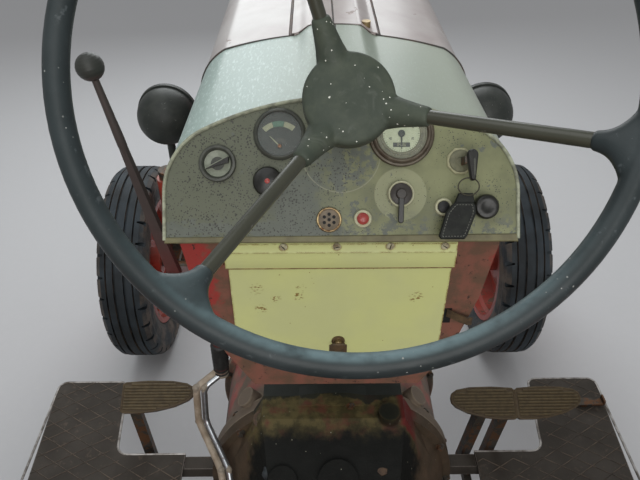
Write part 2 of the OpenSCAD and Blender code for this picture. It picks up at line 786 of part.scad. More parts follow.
// Height of the boss
boss_h = 26;
module steering_wheel() {
    on_axle() color("#3f474b") on_column() {
        rotate_extrude() translate([wheel_r, 0]) circle(r = wheel_tube);
        for (a = SPOKES) {
            c = [cos(a), sin(a)];
            rod([c[0] * 30, c[1] * 30, -wheel_dish - 14],
                [c[0] * (wheel_r - 4), c[1] * (wheel_r - 4), -2], spoke_r);
            taper([c[0] * 34, c[1] * 34, -wheel_dish - 12],
                [c[0] * 70, c[1] * 70, -wheel_dish + 11], 15, 8.5);
            taper([c[0] * (wheel_r - 34), c[1] * (wheel_r - 34), -16],
                [c[0] * (wheel_r - 3), c[1] * (wheel_r - 3), -2], 8.5, 11);
        }
        translate([0, 0, -wheel_dish - boss_h]) cylinder(r = boss_r, h = boss_h);
        translate([0, 0, -wheel_dish]) cylinder(r1 = boss_r, r2 = boss_r - 8, h = 5);
        translate([0, 0, -jacket_top + 5]) cylinder(r = 26, h = jacket_top - wheel_dish - boss_h - 4);
        translate([0, 0, -jacket_top - 86]) cylinder(r = shaft_r, h = 100);
    }
}

// Wheels

// Polygons here are radius, distance from the centre plane
module rim_section(r, h, well, t, lip) {
    polygon([[r + lip, -h - t], [r + lip, -h], [r, -h], [r, -h + well], [r - well * 0.7, -h + well * 1.7],
        [r - well * 0.7, h - well * 1.7], [r, h - well], [r, h], [r + lip, h], [r + lip, h + t],
        [r - t, h + t], [r - t, h - well - t * 0.4], [r - well * 0.7 - t, h - well * 1.7 - t * 0.4],
        [r - well * 0.7 - t, -h + well * 1.7 + t * 0.4], [r - t, -h + well + t * 0.4], [r - t, -h - t]]);
}

module tyre_section(rim, lip, h, half, outer) {
    d = outer - rim;
    polygon([[rim, -h], [rim, h], [rim + lip, h], [rim + lip + 3, h + 6], [rim + d * 0.34, half - 3],
        [rim + d * 0.48, half], [rim + d * 0.66, half - 2], [rim + d * 0.84, half - 10],
        [outer - d * 0.02, half - 34], [outer, half * 0.35], [outer, -half * 0.35],
        [outer - d * 0.02, -half + 34], [rim + d * 0.84, -half + 10], [rim + d * 0.66, -half + 2],
        [rim + d * 0.48, -half], [rim + d * 0.34, -half + 3], [rim + lip + 3, -h - 6], [rim + lip, -h]]);
}

// Wheel frame on the right-hand side: z outwards from the tyre's centre plane
module rear_hub() { translate([rear_x, 0, rear_r]) rotate([0, 90, 0]) children(); }
module front_hub() { translate([front_x, front_y, front_r]) rotate([0, 90, 0]) children(); }

module rear_wheel() {
    inner = trumpet_end - rear_x;
    rear_hub() difference() {
        union() {
            rotate_extrude() rim_section(rear_rim_r, rear_rim_half, 30, 7, 20);
            rotate_extrude() polygon([[0, -112], [118, -112], [286, -24], [rear_rim_r - 26, -24],
                [rear_rim_r - 26, -16], [282, -16], [116, -104], [62, -104], [58, -78], [0, -74]]);
            translate([0, 0, -130]) cylinder(r = 96, h = 18.5);
            translate([0, 0, inner - 110]) cylinder(r = half_shaft_r, h = -130 - inner + 111);
        }
        for (i = [0:disc_holes - 1]) rotate([0, 0, (i + 0.5) * 360 / disc_holes]) translate([205, 0, -140])
            cylinder(r = 32, h = 160);
    }
}
module rear_wheel_right() { on_axle() color("#a8342a") rear_wheel(); }
module rear_wheel_left() { on_axle() color("#a8342a") mirror([1, 0, 0]) rear_wheel(); }

// One slanting lug, seen from outside with the tread running along y
module lug() {
    len = rear_w / 2;
    polygon([[-2, -lug_w / 2], [len * 0.62, lug_w * 0.7], [len + 2, lug_w * 0.95],
        [len + 2, lug_w * 2.0], [len * 0.56, lug_w * 1.75], [-2, lug_w / 2]]);
}

module rear_tyre() {
    carcass = rear_r - lug_h;
    rear_hub() intersection() {
        union() {
            rotate_extrude() tyre_section(rear_rim_r, 20, rear_rim_half, rear_w / 2, carcass);
            for (s = [0, 1], i = [0:lug_n - 1]) rotate([0, 0, (i + s / 2) * 360 / lug_n])
                mirror([0, 0, s]) rotate([0, 90, 0]) rotate([0, 0, 180])
                    translate([0, 0, carcass - 34]) linear_extrude(height = lug_h + 40) lug();
        }
        rotate_extrude() polygon([[rear_rim_r - 5, -rear_w / 2], [rear_r - 70, -rear_w / 2],
            [rear_r - 22, -rear_w / 2 + 6], [rear_r, -rear_w / 2 + 40], [rear_r, rear_w / 2 - 40],
            [rear_r - 22, rear_w / 2 - 6], [rear_r - 70, rear_w / 2], [rear_rim_r - 5, rear_w / 2]]);
    }
}
module rear_tyre_right() { on_axle() color("#26282a") rear_tyre(); }
module rear_tyre_left() { on_axle() color("#26282a") mirror([1, 0, 0]) rear_tyre(); }

module front_wheel() {
    front_hub() difference() {
        union() {
            rotate_extrude() rim_section(front_rim_r, front_rim_half, 16, 5, 14);
            rotate_extrude() polygon([[0, -54], [44, -54], [44, -16], [70, -16], [150, 18],
                [front_rim_r - 14, 18], [front_rim_r - 14, 24], [148, 24], [68, -9], [44, -9],
                [38, 46], [0, 50]]);
        }
        translate([0, 0, -55]) cylinder(r = spindle_r + run, h = 92);
        for (i = [0:3]) rotate([0, 0, 45 + i * 90]) translate([122, 0, -30]) cylinder(r = 16, h = 80);
    }
}
module front_wheel_right() { on_axle() color("#a8342a") front_wheel(); }
module front_wheel_left() { on_axle() color("#a8342a") mirror([1, 0, 0]) front_wheel(); }

// Three ribs round the tread: centre, half width
RIBS = [[-28, 9], [0, 11], [28, 9]];
module front_tyre() {
    carcass = front_r - 11;
    edge = front_w / 2;
    front_hub() difference() {
        union() {
            rotate_extrude() tyre_section(front_rim_r, 14, front_rim_half, edge, carcass);
            for (r = RIBS) rotate_extrude() translate([carcass - 6, r[0] - r[1]]) square([17, 2 * r[1]]);
            for (s = [0, 1]) mirror([0, 0, s]) rotate_extrude()
                polygon([[carcass - 30, edge - 31], [front_r - 1, edge - 31], [front_r - 3, edge - 17],
                    [front_r - 12, edge - 5], [front_r - 34, edge - 1], [front_r - 60, edge - 4]]);
        }
        for (s = [0, 1], i = [0:notch_n - 1]) rotate([0, 0, (i + s / 2) * 360 / notch_n]) mirror([0, 0, s])
            translate([front_r - notch_depth, 0, 0]) rotate([90, 0, 90])
                linear_extrude(height = notch_depth + 2)
                    polygon([[-8, edge + 5], [8, edge + 5], [2.5, edge - 25], [-2.5, edge - 25]]);
    }
}
module front_tyre_right() { on_axle() color("#26282a") front_tyre(); }
module front_tyre_left() { on_axle() color("#26282a") mirror([1, 0, 0]) front_tyre(); }

// Driving place

fender_in = trumpet_end;
plate_t = 6;
// Where a fender's front edge comes down to the foot plate
fender_low = asin((rear_r - plate_z + plate_t) / fender_r);
module fenders() {
    on_axle() color("#8f3b2c") both() translate([fender_in, 0, rear_r]) rotate([0, 90, 0])
        for (s = [[fender_r, sheet, rear_x + rear_w / 2 + 12 - fender_in], [60, fender_r - 59, sheet]])
            rotate_extrude(angle = 180 + fender_low, start = 90 - fender_low)
                translate([s[0], 0]) square([s[1], s[2]]);
}

plate_rear = sqrt(pow(fender_r + sheet, 2) - pow(rear_r - plate_z, 2)) + fit;
plate_in = 315;
// Cut-out for the pedals in the front inner corner, and how the outer corners are rounded
notch_x = 468;
notch_y = 1018;
plate_round = 20;
module foot_plates() {
    on_axle() color("#4d4340") both() {
        translate([0, 0, plate_z - plate_t]) linear_extrude(height = plate_t)
            polygon(concat([[plate_in, plate_rear], [plate_x - 30, plate_rear]],
                corner(plate_x - plate_round, plate_front - plate_round, plate_round, 0, 90),
                corner(notch_x + 17 + plate_round, plate_front - plate_round, plate_round, 90, 180),
                corner(notch_x - 26, notch_y + 26, 26, 0, -90),
                [[plate_in, notch_y]]));
        block(125, plate_x - 40, 700, 730, plate_z - 36, plate_z - plate_t);
        difference() {
            block(150, plate_x - 40, notch_y - 33, notch_y - 3, plate_z - 36, plate_z - plate_t);
            ycyl(bell_r - bell_step + fit, 900, 1100, 0, crank_z);
        }
    }
}

pedal_y = 870;
pedal_z = 440;
pedal_arm = 15;
// Upright part of the pedal arms, ahead of the foot plates' edge
pedal_up = notch_y + pedal_arm + 18;
// arm at its foot, arm at its head, wide end of the pad, narrow end, pad's distance ahead
PEDALS = [[-402, -417, -436, -287, 1062], [302, 318, 383.7, 250, 1039], [353, 366, 384.3, 520, 1039]];
// Outline of a pad: share of its length, distance ahead
PAD = [[0, -28], [0, 27], [0.04, 31], [0.35, 34], [0.7, 33], [0.9, 28], [0.98, 21], [1, 12], [0.99, 2],
    [0.93, -7], [0.75, -19], [0.5, -28], [0.25, -32], [0.04, -32]];
// Foot throttle on the right-hand plate
throttle_x = 640;
throttle_y = 1129;
module pedals() {
    on_axle() color("#5b4536") {
        difference() {
            for (x = [[-412, -130], [130, 363]]) xcyl(14, x[0], x[1], pedal_y, pedal_z);
            bell_cone(fit);
        }
        for (p = PEDALS) {
            xcyl(22, p[0] - 9, p[0] + 9, pedal_y, pedal_z);
            bar([p[0], pedal_y, pedal_z], [p[0], pedal_up, pedal_z], 22, 16);
            edge_bar([p[0], pedal_up, pedal_z - 9], [p[1], p[4], 634], pedal_arm);
            translate([0, p[4], 640]) rotate([28, 0, 0]) translate([0, 0, -5]) linear_extrude(height = 10)
                polygon([for (q = PAD) [p[2] + (p[3] - p[2]) * q[0], q[1]]]);
        }
        block(throttle_x - 65, throttle_x, throttle_y, throttle_y + 20, plate_z + 9, plate_z + 13);
        block(throttle_x - 4, throttle_x, throttle_y, throttle_y + 20, plate_z + 9, plate_z + 24);
        block(throttle_x - 50, throttle_x - 38, throttle_y + 4, throttle_y + 16, plate_z, plate_z + 9);
    }
}

// Hand lever: its foot, where its blade ends, and its knob
hand_foot = [-252, 985, 1036];
hand_mid = [-299, 999, 1279];
hand_top = [-320, 1005, 1385];
// Rod that goes down from it to the boot
push_rod_x = -200;
// Two control rods that run from the hand lever to a shaft on the gearbox
linkage_y = 800;
linkage_z = 612;
LINKAGE = [[-203, 984, 815], [-240, 958, 800], [-244, 948, 716], [-196, 868, 680],
    [-182, linkage_y, linkage_z]];
// Gear levers: side of the foot, then side, distance ahead and height of the knob, its radius
GEAR_LEVERS = [[-30, -60, -50, 980, 22], [30, 60, -40, 930, 20]];
module levers() {
    on_axle() color("#3d3a38") {
        blade(hand_foot, hand_mid, 25, 9, 8);
        knob_rod(hand_mid, hand_top, 4.2, 18.5);
        difference() {
            block(-264, -130, hand_foot[1] - 12, hand_foot[1] + 12, hand_foot[2] - 6, hand_foot[2] + 18);
            translate([0, support_y + support_len, 0]) rotate([90, 0, 0])
                linear_extrude(height = support_len) support_shape(-fit);
        }
        rod([push_rod_x, hand_foot[1], hand_foot[2]], [push_rod_x, hand_foot[1], 880], 5);
        taper([push_rod_x, hand_foot[1], 892], LINKAGE[0] - [0, 0, 7], 11, 13);
        for (r = [[-7, 6], [7, 5]], i = [0:len(LINKAGE) - 2]) {
            a = LINKAGE[i] + [r[0], 0, 0];
            b = LINKAGE[i + 1] + [r[0], 0, 0];
            rod(a, b, r[1]);
            translate(b) sphere(r = r[1] + 1);
        }
        difference() {
            xcyl(9, -196, -140, linkage_y, linkage_z);
            bell_cone(fit);
        }
        for (l = GEAR_LEVERS) {
            translate([l[0], tower_y, tower_z + tower_h]) cylinder(r = 17, h = 14);
            knob_rod([l[0], tower_y, tower_z + tower_h + 6], [l[1], tower_y + l[2], l[3]], 8, l[4]);
        }
    }
}

seat_y = -40;
seat_z = 985;
module seat() {
    on_axle() color("#7a2d22") translate([0, seat_y, seat_z]) difference() {
        rotate_extrude() polygon([[0, 0], [120, 6], [190, 34], [228, 100], [232, 100], [194, 31],
            [122, 2], [0, -4]]);
        translate([-300, 60, 40]) cube([600, 300, 200]);
    }
}

module seat_spring() {
    on_axle() color("#3d3a38") {
        block(-30, 30, -150, 30, 886, 898);
        block(-30, 30, -150, -138, 898, seat_z - 30);
        block(-30, 30, -150, 20, seat_z - 30, seat_z - 18);
        translate([0, seat_y, seat_z - 18]) cylinder(r = 60, h = 14);
    }
}

hitch_pin_r = 15;
hitch_back = 312;
module tow_hitch() {
    on_axle() color("#4a3f36") difference() {
        union() {
            block(-60, 60, case_back - 30, case_back, case_foot, 600);
            for (z = [455, 545]) {
                block(-45, 45, -hitch_back, case_back - 30, z, z + 22);
                translate([0, -hitch_back, z]) cylinder(r = 45, h = 22);
            }
        }
        translate([0, -hitch_back, 440]) cylinder(r = hitch_pin_r, h = 150);
    }
}

pto_r = 17.5;
pto_bore = 34;
pto_end = 270;
module pto_shaft() {
    on_axle() color("#8a8a86") {
        ycyl(pto_r, -pto_end, case_back + 35, 0, pto_z);
        ycyl(pto_bore - fit, case_back - 1, case_back + 35, 0, pto_z);
    }
}

// Height of the tail lamps above the rear axle, and their radius
tail_up = 330;
tail_r = 42;
tail_z = rear_r + tail_up;
module tail_lamps() {
    on_axle() color("#7a1f1a") both() difference() {
        ycyl(tail_r, -fender_r + 40, -sqrt(pow(fender_r, 2) - tail_up * tail_up), rear_x, tail_z);
        translate([0, 0, rear_r]) xcyl(fender_r + sheet + fit, rear_x - 60, rear_x + 60);
    }
}

// Lamps, tank and exhaust

lamp_y = engine_front + 17;
lamp_z = 948;
lamp_x = 424;
lamp_r = 76;
lamp_arm_z = 790;
module headlamps() {
    on_axle() color("#232323") both() {
        translate([lamp_x, lamp_y, lamp_z]) {
            difference() {
                sphere(r = lamp_r);
                block(-90, 90, 18, 90, -90, 90);
            }
            ycyl(lamp_r + 3, 18, 30);
        }
        rod([lamp_x, lamp_y, lamp_z - lamp_r + 4], [lamp_x, lamp_y, lamp_arm_z + 10], 11);
        block(engine_half, lamp_x + 14, lamp_y - 16, lamp_y + 16, lamp_arm_z, lamp_arm_z + 14);
        block(engine_half, engine_half + 20, lamp_y - 70, lamp_y, lamp_arm_z, lamp_arm_z + 14);
    }
}

tank_back = box_front + 13.4;
tank_len = 360;
tank_z = 1080;
tank_h = 260;
neck_h = 72;
filler_y = tank_back + 205;
module fuel_tank() {
    on_axle() color("#7d4434") {
        block(-155, 155, tank_back, tank_back + tank_len, tank_z, tank_z + tank_h);
        translate([0, filler_y, tank_z + tank_h]) cylinder(r = 38, h = neck_h);
        translate([0, filler_y, tank_z + tank_h + neck_h]) cylinder(r = 44, h = 16);
        for (y = [tank_back + 10, tank_back + tank_len - 75])
            block(-50, 50, y, y + 30, head_z + head_h + rocker_h, tank_z);
    }
}

exhaust_r = 26;
exhaust_y = engine_front - 40;
// Height of the pipe's run under the bonnet and of its open end
exhaust_z = 1050;
stack_top = 1920;
module exhaust() {
    on_axle() color("#33302d") {
        translate([0, exhaust_y, exhaust_z]) cylinder(r = exhaust_r, h = stack_top - exhaust_z);
        translate([0, exhaust_y, 1450]) cylinder(r = 48, h = 330);
        xcyl(exhaust_r, 0, manifold_x, exhaust_y, exhaust_z);
        translate([manifold_x, exhaust_y, manifold_z]) cylinder(r = exhaust_r, h = exhaust_z - manifold_z);
        for (z = [manifold_z, exhaust_z]) translate([manifold_x, exhaust_y, z]) sphere(r = exhaust_r);
        ycyl(exhaust_r, manifold_end, exhaust_y, manifold_x, manifold_z);
        translate([0, exhaust_y, exhaust_z]) sphere(r = exhaust_r);
    }
}

gearbox();
clutch_housing();
axle_housing();
engine();
cylinder_head();
manifold();
injection_pump();
generator();
fan();
radiator();
front_support();
front_axle();
bonnet_band();
bonnet_left();
bonnet_right();
grille();
cowl();
dash_panel();
instruments();
key_fob();
toolbox();
toolbox_lid();
steering_box();
steering_wheel();
headlamps();
fuel_tank();
exhaust();
knuckle_left();
knuckle_right();
track_rod();
drop_arm();
drag_link();
front_wheel_left();
front_wheel_right();
front_tyre_left();
front_tyre_right();
rear_wheel_left();
rear_wheel_right();
rear_tyre_left();
rear_tyre_right();
fenders();
foot_plates();
pedals();
levers();
seat();
seat_spring();
tow_hitch();
pto_shaft();
tail_lamps();
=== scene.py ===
# %% [markdown]
# # A vintage tractor seen from its driving place
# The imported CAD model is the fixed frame: its solids have the right size and place already.
# This lesson gives every visible solid a finish of its own, models what needs a finer mesh
# than a machine drawing holds, and sets the camera, the light and the floor.

# %% Load the frame
import json
import math
import bmesh
import bpy
from mathutils import Matrix, Vector


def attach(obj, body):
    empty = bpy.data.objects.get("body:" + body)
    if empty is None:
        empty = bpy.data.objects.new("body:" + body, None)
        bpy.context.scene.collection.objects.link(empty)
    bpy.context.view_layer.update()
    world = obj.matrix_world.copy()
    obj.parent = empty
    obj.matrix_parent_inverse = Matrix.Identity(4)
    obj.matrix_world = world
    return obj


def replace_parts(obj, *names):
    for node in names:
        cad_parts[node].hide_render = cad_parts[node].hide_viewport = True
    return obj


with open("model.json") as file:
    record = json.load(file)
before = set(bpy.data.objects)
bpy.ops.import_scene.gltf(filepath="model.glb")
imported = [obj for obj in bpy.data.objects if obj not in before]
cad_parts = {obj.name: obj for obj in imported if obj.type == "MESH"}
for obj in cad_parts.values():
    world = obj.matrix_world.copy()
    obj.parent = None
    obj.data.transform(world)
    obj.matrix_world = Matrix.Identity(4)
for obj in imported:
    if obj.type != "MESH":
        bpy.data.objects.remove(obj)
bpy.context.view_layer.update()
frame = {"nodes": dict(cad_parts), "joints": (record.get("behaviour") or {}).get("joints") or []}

# %% [markdown]
# Places are read from the frame, so nothing is fitted by hand. Machine parts are easier to
# think about in millimetres, so each local frame below carries the scale from millimetres to
# metres. Lengths along the tractor count from the rear axle.

# %% Places from the frame
MM = 0.001
joints = {joint["name"]: joint for joint in frame["joints"]}
REAR_AXLE = Vector(joints["rear_right_roll"]["pos_m"])
WHEEL_CENTRE = Vector(joints["steering_wheel_turn"]["pos_m"])
COLUMN_AXIS = Vector(joints["steering_wheel_turn"]["axis"])


def at(x, y, z):
    """Point in metres from millimetres: right, ahead of the rear axle, up."""
    return Vector((x * MM, REAR_AXLE.y + y * MM, z * MM))


def frame_at(origin, turn):
    """Local frame in millimetres at a point in metres."""
    return Matrix.Translation(origin) @ turn.to_4x4() @ Matrix.Scale(MM, 4)


def facing(direction):
    """Turn whose z axis looks along a direction and whose y axis leans upwards."""
    z = Vector(direction).normalized()
    up = Vector((0, 0, 1)) if abs(z.z) < 0.999 else Vector((0, 1, 0))
    x = up.cross(z).normalized()
    return Matrix((x, z.cross(x), z)).transposed()


def shifted(place, x, y, z=0):
    """A local frame moved along its own axes, in millimetres."""
    return place @ Matrix.Translation((x, y, z))


def spun(place, degrees):
    """A local frame turned about its own z axis."""
    return place @ Matrix.Rotation(math.radians(degrees), 4, "Z")


COLUMN = facing(COLUMN_AXIS)
WHEEL = frame_at(WHEEL_CENTRE, COLUMN)
DASH_DEPTH = 270
DASH_CENTRE = WHEEL_CENTRE - COLUMN_AXIS * DASH_DEPTH * MM
DASH = frame_at(DASH_CENTRE, COLUMN)
print("column leans", round(math.degrees(math.asin(COLUMN_AXIS.z)), 1), "degrees")

# %% [markdown]
# ## Three small tools
# A finish is a node tree round one Principled shader. Old machines repeat the same few
# moves: a blotch of fading, a chip down to the layer below, a pit that catches the light.
# The class gives each move a short name, so that a finish reads like a recipe. Patterns use
# Object coordinates, which stay with the part when it moves.

# %% Finish: one shader and its moves
class Finish:
    """A procedural finish round a Principled shader."""

    def __init__(self, name, **sockets):
        self.mat = bpy.data.materials.new(name)
        self.mat.use_nodes = True
        self.tree = self.mat.node_tree
        self.shader = self.tree.nodes["Principled BSDF"]
        self.shader.inputs["Specular IOR Level"].default_value = 0.3
        for socket, value in sockets.items():
            self.shader.inputs[socket.replace("_", " ")].default_value = value
        coordinates = self.add("ShaderNodeTexCoord")
        self.place = coordinates.outputs["Object"]
        self.normal = coordinates.outputs["Normal"]
        self.relief = None

    def add(self, kind, inputs=(), **settings):
        node = self.tree.nodes.new(kind)
        for key, value in settings.items():
            setattr(node, key, value)
        for key, value in dict(inputs).items():
            self.feed(node.inputs[key], value)
        return node

    def feed(self, socket, value):
        if isinstance(value, bpy.types.NodeSocket):
            self.tree.links.new(value, socket)
        elif socket.type == "RGBA" and len(value) == 3:
            socket.default_value = (*value, 1.0)
        else:
            socket.default_value = value

    def moved(self, seed, stretch=(1, 1, 1), source=None):
        shift = (seed * 7.31, seed * 3.17, seed * 5.53)
        return self.add("ShaderNodeMapping", {
            "Vector": source or self.place, "Location": shift, "Scale": stretch}).outputs[0]

    def noise(self, size, seed=0, detail=4.0, rough=0.55, stretch=(1, 1, 1), warp=0.0, source=None):
        return self.add("ShaderNodeTexNoise", {
            "Vector": self.moved(seed, stretch, source), "Scale": 1 / size, "Detail": detail,
            "Roughness": rough, "Distortion": warp}).outputs[0]

    def cells(self, size, seed=0, edges=False):
        return self.add("ShaderNodeTexVoronoi", {
            "Vector": self.moved(seed), "Scale": 1 / size},
            feature="DISTANCE_TO_EDGE" if edges else "F1").outputs["Distance"]

    def mask(self, value, low, high):
        return self.add("ShaderNodeMapRange", {
            "Value": value, "From Min": low, "From Max": high},
            interpolation_type="SMOOTHSTEP").outputs[0]

    def calc(self, action, *values):
        return self.add("ShaderNodeMath", dict(enumerate(values)), operation=action).outputs[0]

    def times(self, first, *others):
        for value in others:
            first = self.calc("MULTIPLY", first, value)
        return first

    def most(self, first, *others):
        for value in others:
            first = self.calc("MAXIMUM", first, value)
        return first

    def plus(self, a, b):
        return self.calc("ADD", a, b)

    def flip(self, share):
        return self.calc("SUBTRACT", 1.0, share)

    def scaled(self, value, by, start):
        """A value times a factor, counted from a start."""
        return self.plus(self.times(value, by), start)

    def strayed(self, value, noise, reach):
        """A value that a noise pushes up and down, half the reach each way."""
        return self.plus(value, self.times(self.calc("SUBTRACT", noise, 0.5), reach))

    def specks(self, size, seed, limit):
        """1 at the hearts of scattered cells."""
        return self.calc("LESS_THAN", self.cells(size, seed), limit)

    def blend(self, share, a, b):
        return self.add("ShaderNodeMix", {0: share, 6: a, 7: b}, data_type="RGBA").outputs[2]

    def near(self, centre, low, high, source=None):
        """Distance from a point, as 0 within low and 1 beyond high, in metres."""
        gap = self.add("ShaderNodeVectorMath", {0: source or self.place, 1: centre},
                       operation="DISTANCE").outputs["Value"]
        return self.mask(gap, low, high)

    def spot(self, centre, low, high, source=None):
        return self.flip(self.near(centre, low, high, source))

    def local(self, origin, turn):
        """Object coordinates seen from a local frame, in metres."""
        return self.add("ShaderNodeMapping", {
            "Vector": self.place, "Location": origin, "Rotation": turn.to_euler()},
            vector_type="TEXTURE").outputs[0]

    def axes(self, source=None):
        return self.add("ShaderNodeSeparateXYZ", {0: source or self.place}).outputs

    def worn_edge(self, radius):
        """1 along sharp edges: where the rounded normal leaves the true one."""
        soft = self.add("ShaderNodeBevel", {"Radius": radius}, samples=4).outputs[0]
        true = self.add("ShaderNodeNewGeometry").outputs["Normal"]
        same = self.add("ShaderNodeVectorMath", {0: soft, 1: true}, operation="DOT_PRODUCT").outputs["Value"]
        return self.flip(self.mask(same, 0.93, 0.995))

    def raised(self, height, depth, strength=1.0):
        inputs = {"Height": height, "Distance": depth, "Strength": strength}
        if self.relief:
            inputs["Normal"] = self.relief
        self.relief = self.add("ShaderNodeBump", inputs).outputs[0]

    def done(self, colour, rough=None):
        self.feed(self.shader.inputs["Base Color"], colour)
        if rough is not None:
            self.feed(self.shader.inputs["Roughness"], rough)
        if self.relief:
            self.feed(self.shader.inputs["Normal"], self.relief)
        return self.mat


print("finish tool ready")

# %% [markdown]
# A piece is a mesh of its own. Turned parts, flat plates with a chamfered rim and tapering
# arms are all rings of points joined one to the next, so one loft serves them all. Merging
# the doubles closes the poles, and the normals are worked out after that.

# %% Piece: lofts in millimetres
def settle(name, mesh, body, sharp=35):
    """Turns a finished mesh into a piece that rides on a body."""
    mesh.shade_smooth()
    mesh.set_sharp_from_angle(angle=math.radians(sharp))
    piece = bpy.data.objects.new(name, mesh)
    bpy.context.scene.collection.objects.link(piece)
    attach(piece, body)
    mesh.calc_loop_triangles()
    print(f"{name}: {len(mesh.loop_triangles)} triangles on {body}")
    return piece


def circle(steps):
    """Even angles round a full turn, in radians."""
    return [2 * math.pi * k / steps for k in range(steps)]


class Piece:
    """A mesh built from lofts, each with its own finish."""

    def __init__(self, name):
        self.name = name
        self.mesh = bmesh.new()
        self.finishes = []

    def loft(self, rings, finish, closed=False):
        rows = [[self.mesh.verts.new(point) for point in ring] for ring in rings]
        faces = []
        for low, high in zip(rows, rows[1:] + (rows[:1] if closed else [])):
            for k in range(len(low)):
                n = (k + 1) % len(low)
                faces.append(self.mesh.faces.new((low[k], low[n], high[n], high[k])))
        if not closed:
            for end in (rows[0], rows[-1]):
                if (end[0].co - end[len(end) // 2].co).length > 1e-6:
                    faces.append(self.mesh.faces.new(end))
        if finish not in self.finishes:
            self.finishes.append(finish)
        for face in faces:
            face.material_index = self.finishes.index(finish)
        return self

    def turned(self, place, profile, finish, steps=40, closed=False):
        """Lathe work from points of radius and height."""
        return self.loft([[place @ Vector((r * math.cos(t), r * math.sin(t), h)) for t in circle(steps)]
                          for r, h in profile], finish, closed)

    def plate(self, place, outline, low, high, finish, chamfer=0.0):
        """Flat piece from an outline, with its upper rim chamfered."""
        rim = [(0, high - chamfer), (chamfer, high)] if chamfer else [(0, high)]
        return self.stack(place, outline, [(0, low)] + rim, finish)

    def stack(self, place, outline, levels, finish):
        """Flat piece from levels of inset and height."""
        return self.loft([[place @ Vector((*point, h)) for point in inset(outline, d)]
                          for d, h in levels], finish)

    def prism(self, place, outline, heights, finish):
        """The same outline at each height."""
        return self.loft([[place @ Vector((*point, h)) for point in outline] for h in heights], finish)

    def block(self, place, x, y, z, finish, chamfer=0.0):
        outline = [(x[0], y[0]), (x[1], y[0]), (x[1], y[1]), (x[0], y[1])]
        return self.plate(place, outline, z[0], z[1], finish, chamfer)

    def rod(self, a, b, radius, finish, steps=20):
        """Round rod between two points in metres, radius in millimetres."""
        place = frame_at(a, facing(b - a))
        length = (b - a).length / MM
        return self.turned(place, [(0, 0), (radius, 0), (radius, length), (0, length)], finish, steps)

    def merged(self):
        """The lofts as one mesh, its poles closed and its faces outwards."""
        bmesh.ops.remove_doubles(self.mesh, verts=self.mesh.verts, dist=2e-6)
        bmesh.ops.recalc_face_normals(self.mesh, faces=self.mesh.faces)
        mesh = bpy.data.meshes.new(self.name)
        self.mesh.to_mesh(mesh)
        self.mesh.free()
        return mesh

    def done(self, body, slot, sharp=35):
        mesh = self.merged()
        for finish in self.finishes:
            mesh.materials.append(finish)
        return settle(self.name, mesh, body, sharp)


def inset(outline, distance):
    """Outline moved inwards by a distance, corner by corner."""
    if not distance:
        return outline
    points = [Vector(point) for point in outline]
    area = sum(a.cross(b) for a, b in zip(points, points[1:] + points[:1]))
    moved = []
    for k, point in enumerate(points):
        before = (point - points[k - 1]).normalized()
        after = (points[(k + 1) % len(points)] - point).normalized()
        mitre = (before + after).normalized()
        side = Vector((-mitre.y, mitre.x)) * (1 if area > 0 else -1)
        moved.append(point + side * distance / max(0.3, math.sqrt((1 + before.dot(after)) / 2)))
    return moved


def arc(x, y, radius, start, end, steps=8):
    """Points on an arc, angles in degrees."""
    turns = [math.radians(start + (end - start) * k / steps) for k in range(steps + 1)]
    return [(x + radius * math.cos(t), y + radius * math.sin(t)) for t in turns]


print("piece tool ready")

# %% [markdown]
# Whatever repeats or follows a path is grown by Geometry Nodes. The carrier is a bare mesh:
# loose points that say where, or edges that say along what. Two attributes ride on the
# points, the direction they face and a size. The tree ends in Realize Instances and Set
# Material, and the evaluated result is copied to a plain mesh.

# %% Pattern: a Geometry Nodes tree with named inputs
class Pattern:
    """A tree built in the script. All its named sizes are declared before its first node."""

    def __init__(self, name, **sizes):
        self.group = bpy.data.node_groups.new(name, "GeometryNodeTree")
        self.keys = {}
        sockets = self.group.interface
        sockets.new_socket("carrier", in_out="INPUT", socket_type="NodeSocketGeometry")
        for key, kind in {**sizes, "finish": "Material"}.items():
            socket = sockets.new_socket(key, in_out="INPUT", socket_type="NodeSocket" + kind)
            self.keys[key] = socket.identifier
        sockets.new_socket("result", in_out="OUTPUT", socket_type="NodeSocketGeometry")
        self.start = self.group.nodes.new("NodeGroupInput")
        self.end = self.group.nodes.new("NodeGroupOutput")

    def given(self, key):
        return self.start.outputs[key]

    def add(self, kind, inputs=(), **settings):
        node = self.group.nodes.new(kind)
        for key, value in settings.items():
            setattr(node, key, value)
        for key, value in dict(inputs).items():
            if isinstance(value, bpy.types.NodeSocket):
                self.group.links.new(value, node.inputs[key])
            else:
                node.inputs[key].default_value = value
        return node.outputs[0]

    def attribute(self, name, kind="FLOAT_VECTOR"):
        return self.add("GeometryNodeInputNamedAttribute", {"Name": name}, data_type=kind)

    def join(self, *parts):
        node = self.group.nodes.new("GeometryNodeJoinGeometry")
        for part in reversed(parts):
            self.group.links.new(part, node.inputs[0])
        return node.outputs[0]

    def close(self, geometry):
        real = self.add("GeometryNodeRealizeInstances", {0: geometry})
        painted = self.add("GeometryNodeSetMaterial", {"Geometry": real, "Material": self.given("finish")})
        self.group.links.new(painted, self.end.inputs[0])
        return self

    def grow(self, name, carrier, finish, body, slot, sharp=35, **sizes):
        """Runs the tree on a carrier mesh and keeps the result as a plain piece."""
        seed = bpy.data.objects.new(name + "_carrier", carrier)
        bpy.context.scene.collection.objects.link(seed)
        modifier = seed.modifiers.new(self.group.name, "NODES")
        modifier.node_group = self.group
        for key, value in {**sizes, "finish": finish}.items():
            modifier[self.keys[key]] = value
        result = seed.evaluated_get(bpy.context.evaluated_depsgraph_get())
        mesh = bpy.data.meshes.new_from_object(result)
        bpy.data.objects.remove(seed)
        return settle(name, mesh, body, sharp)


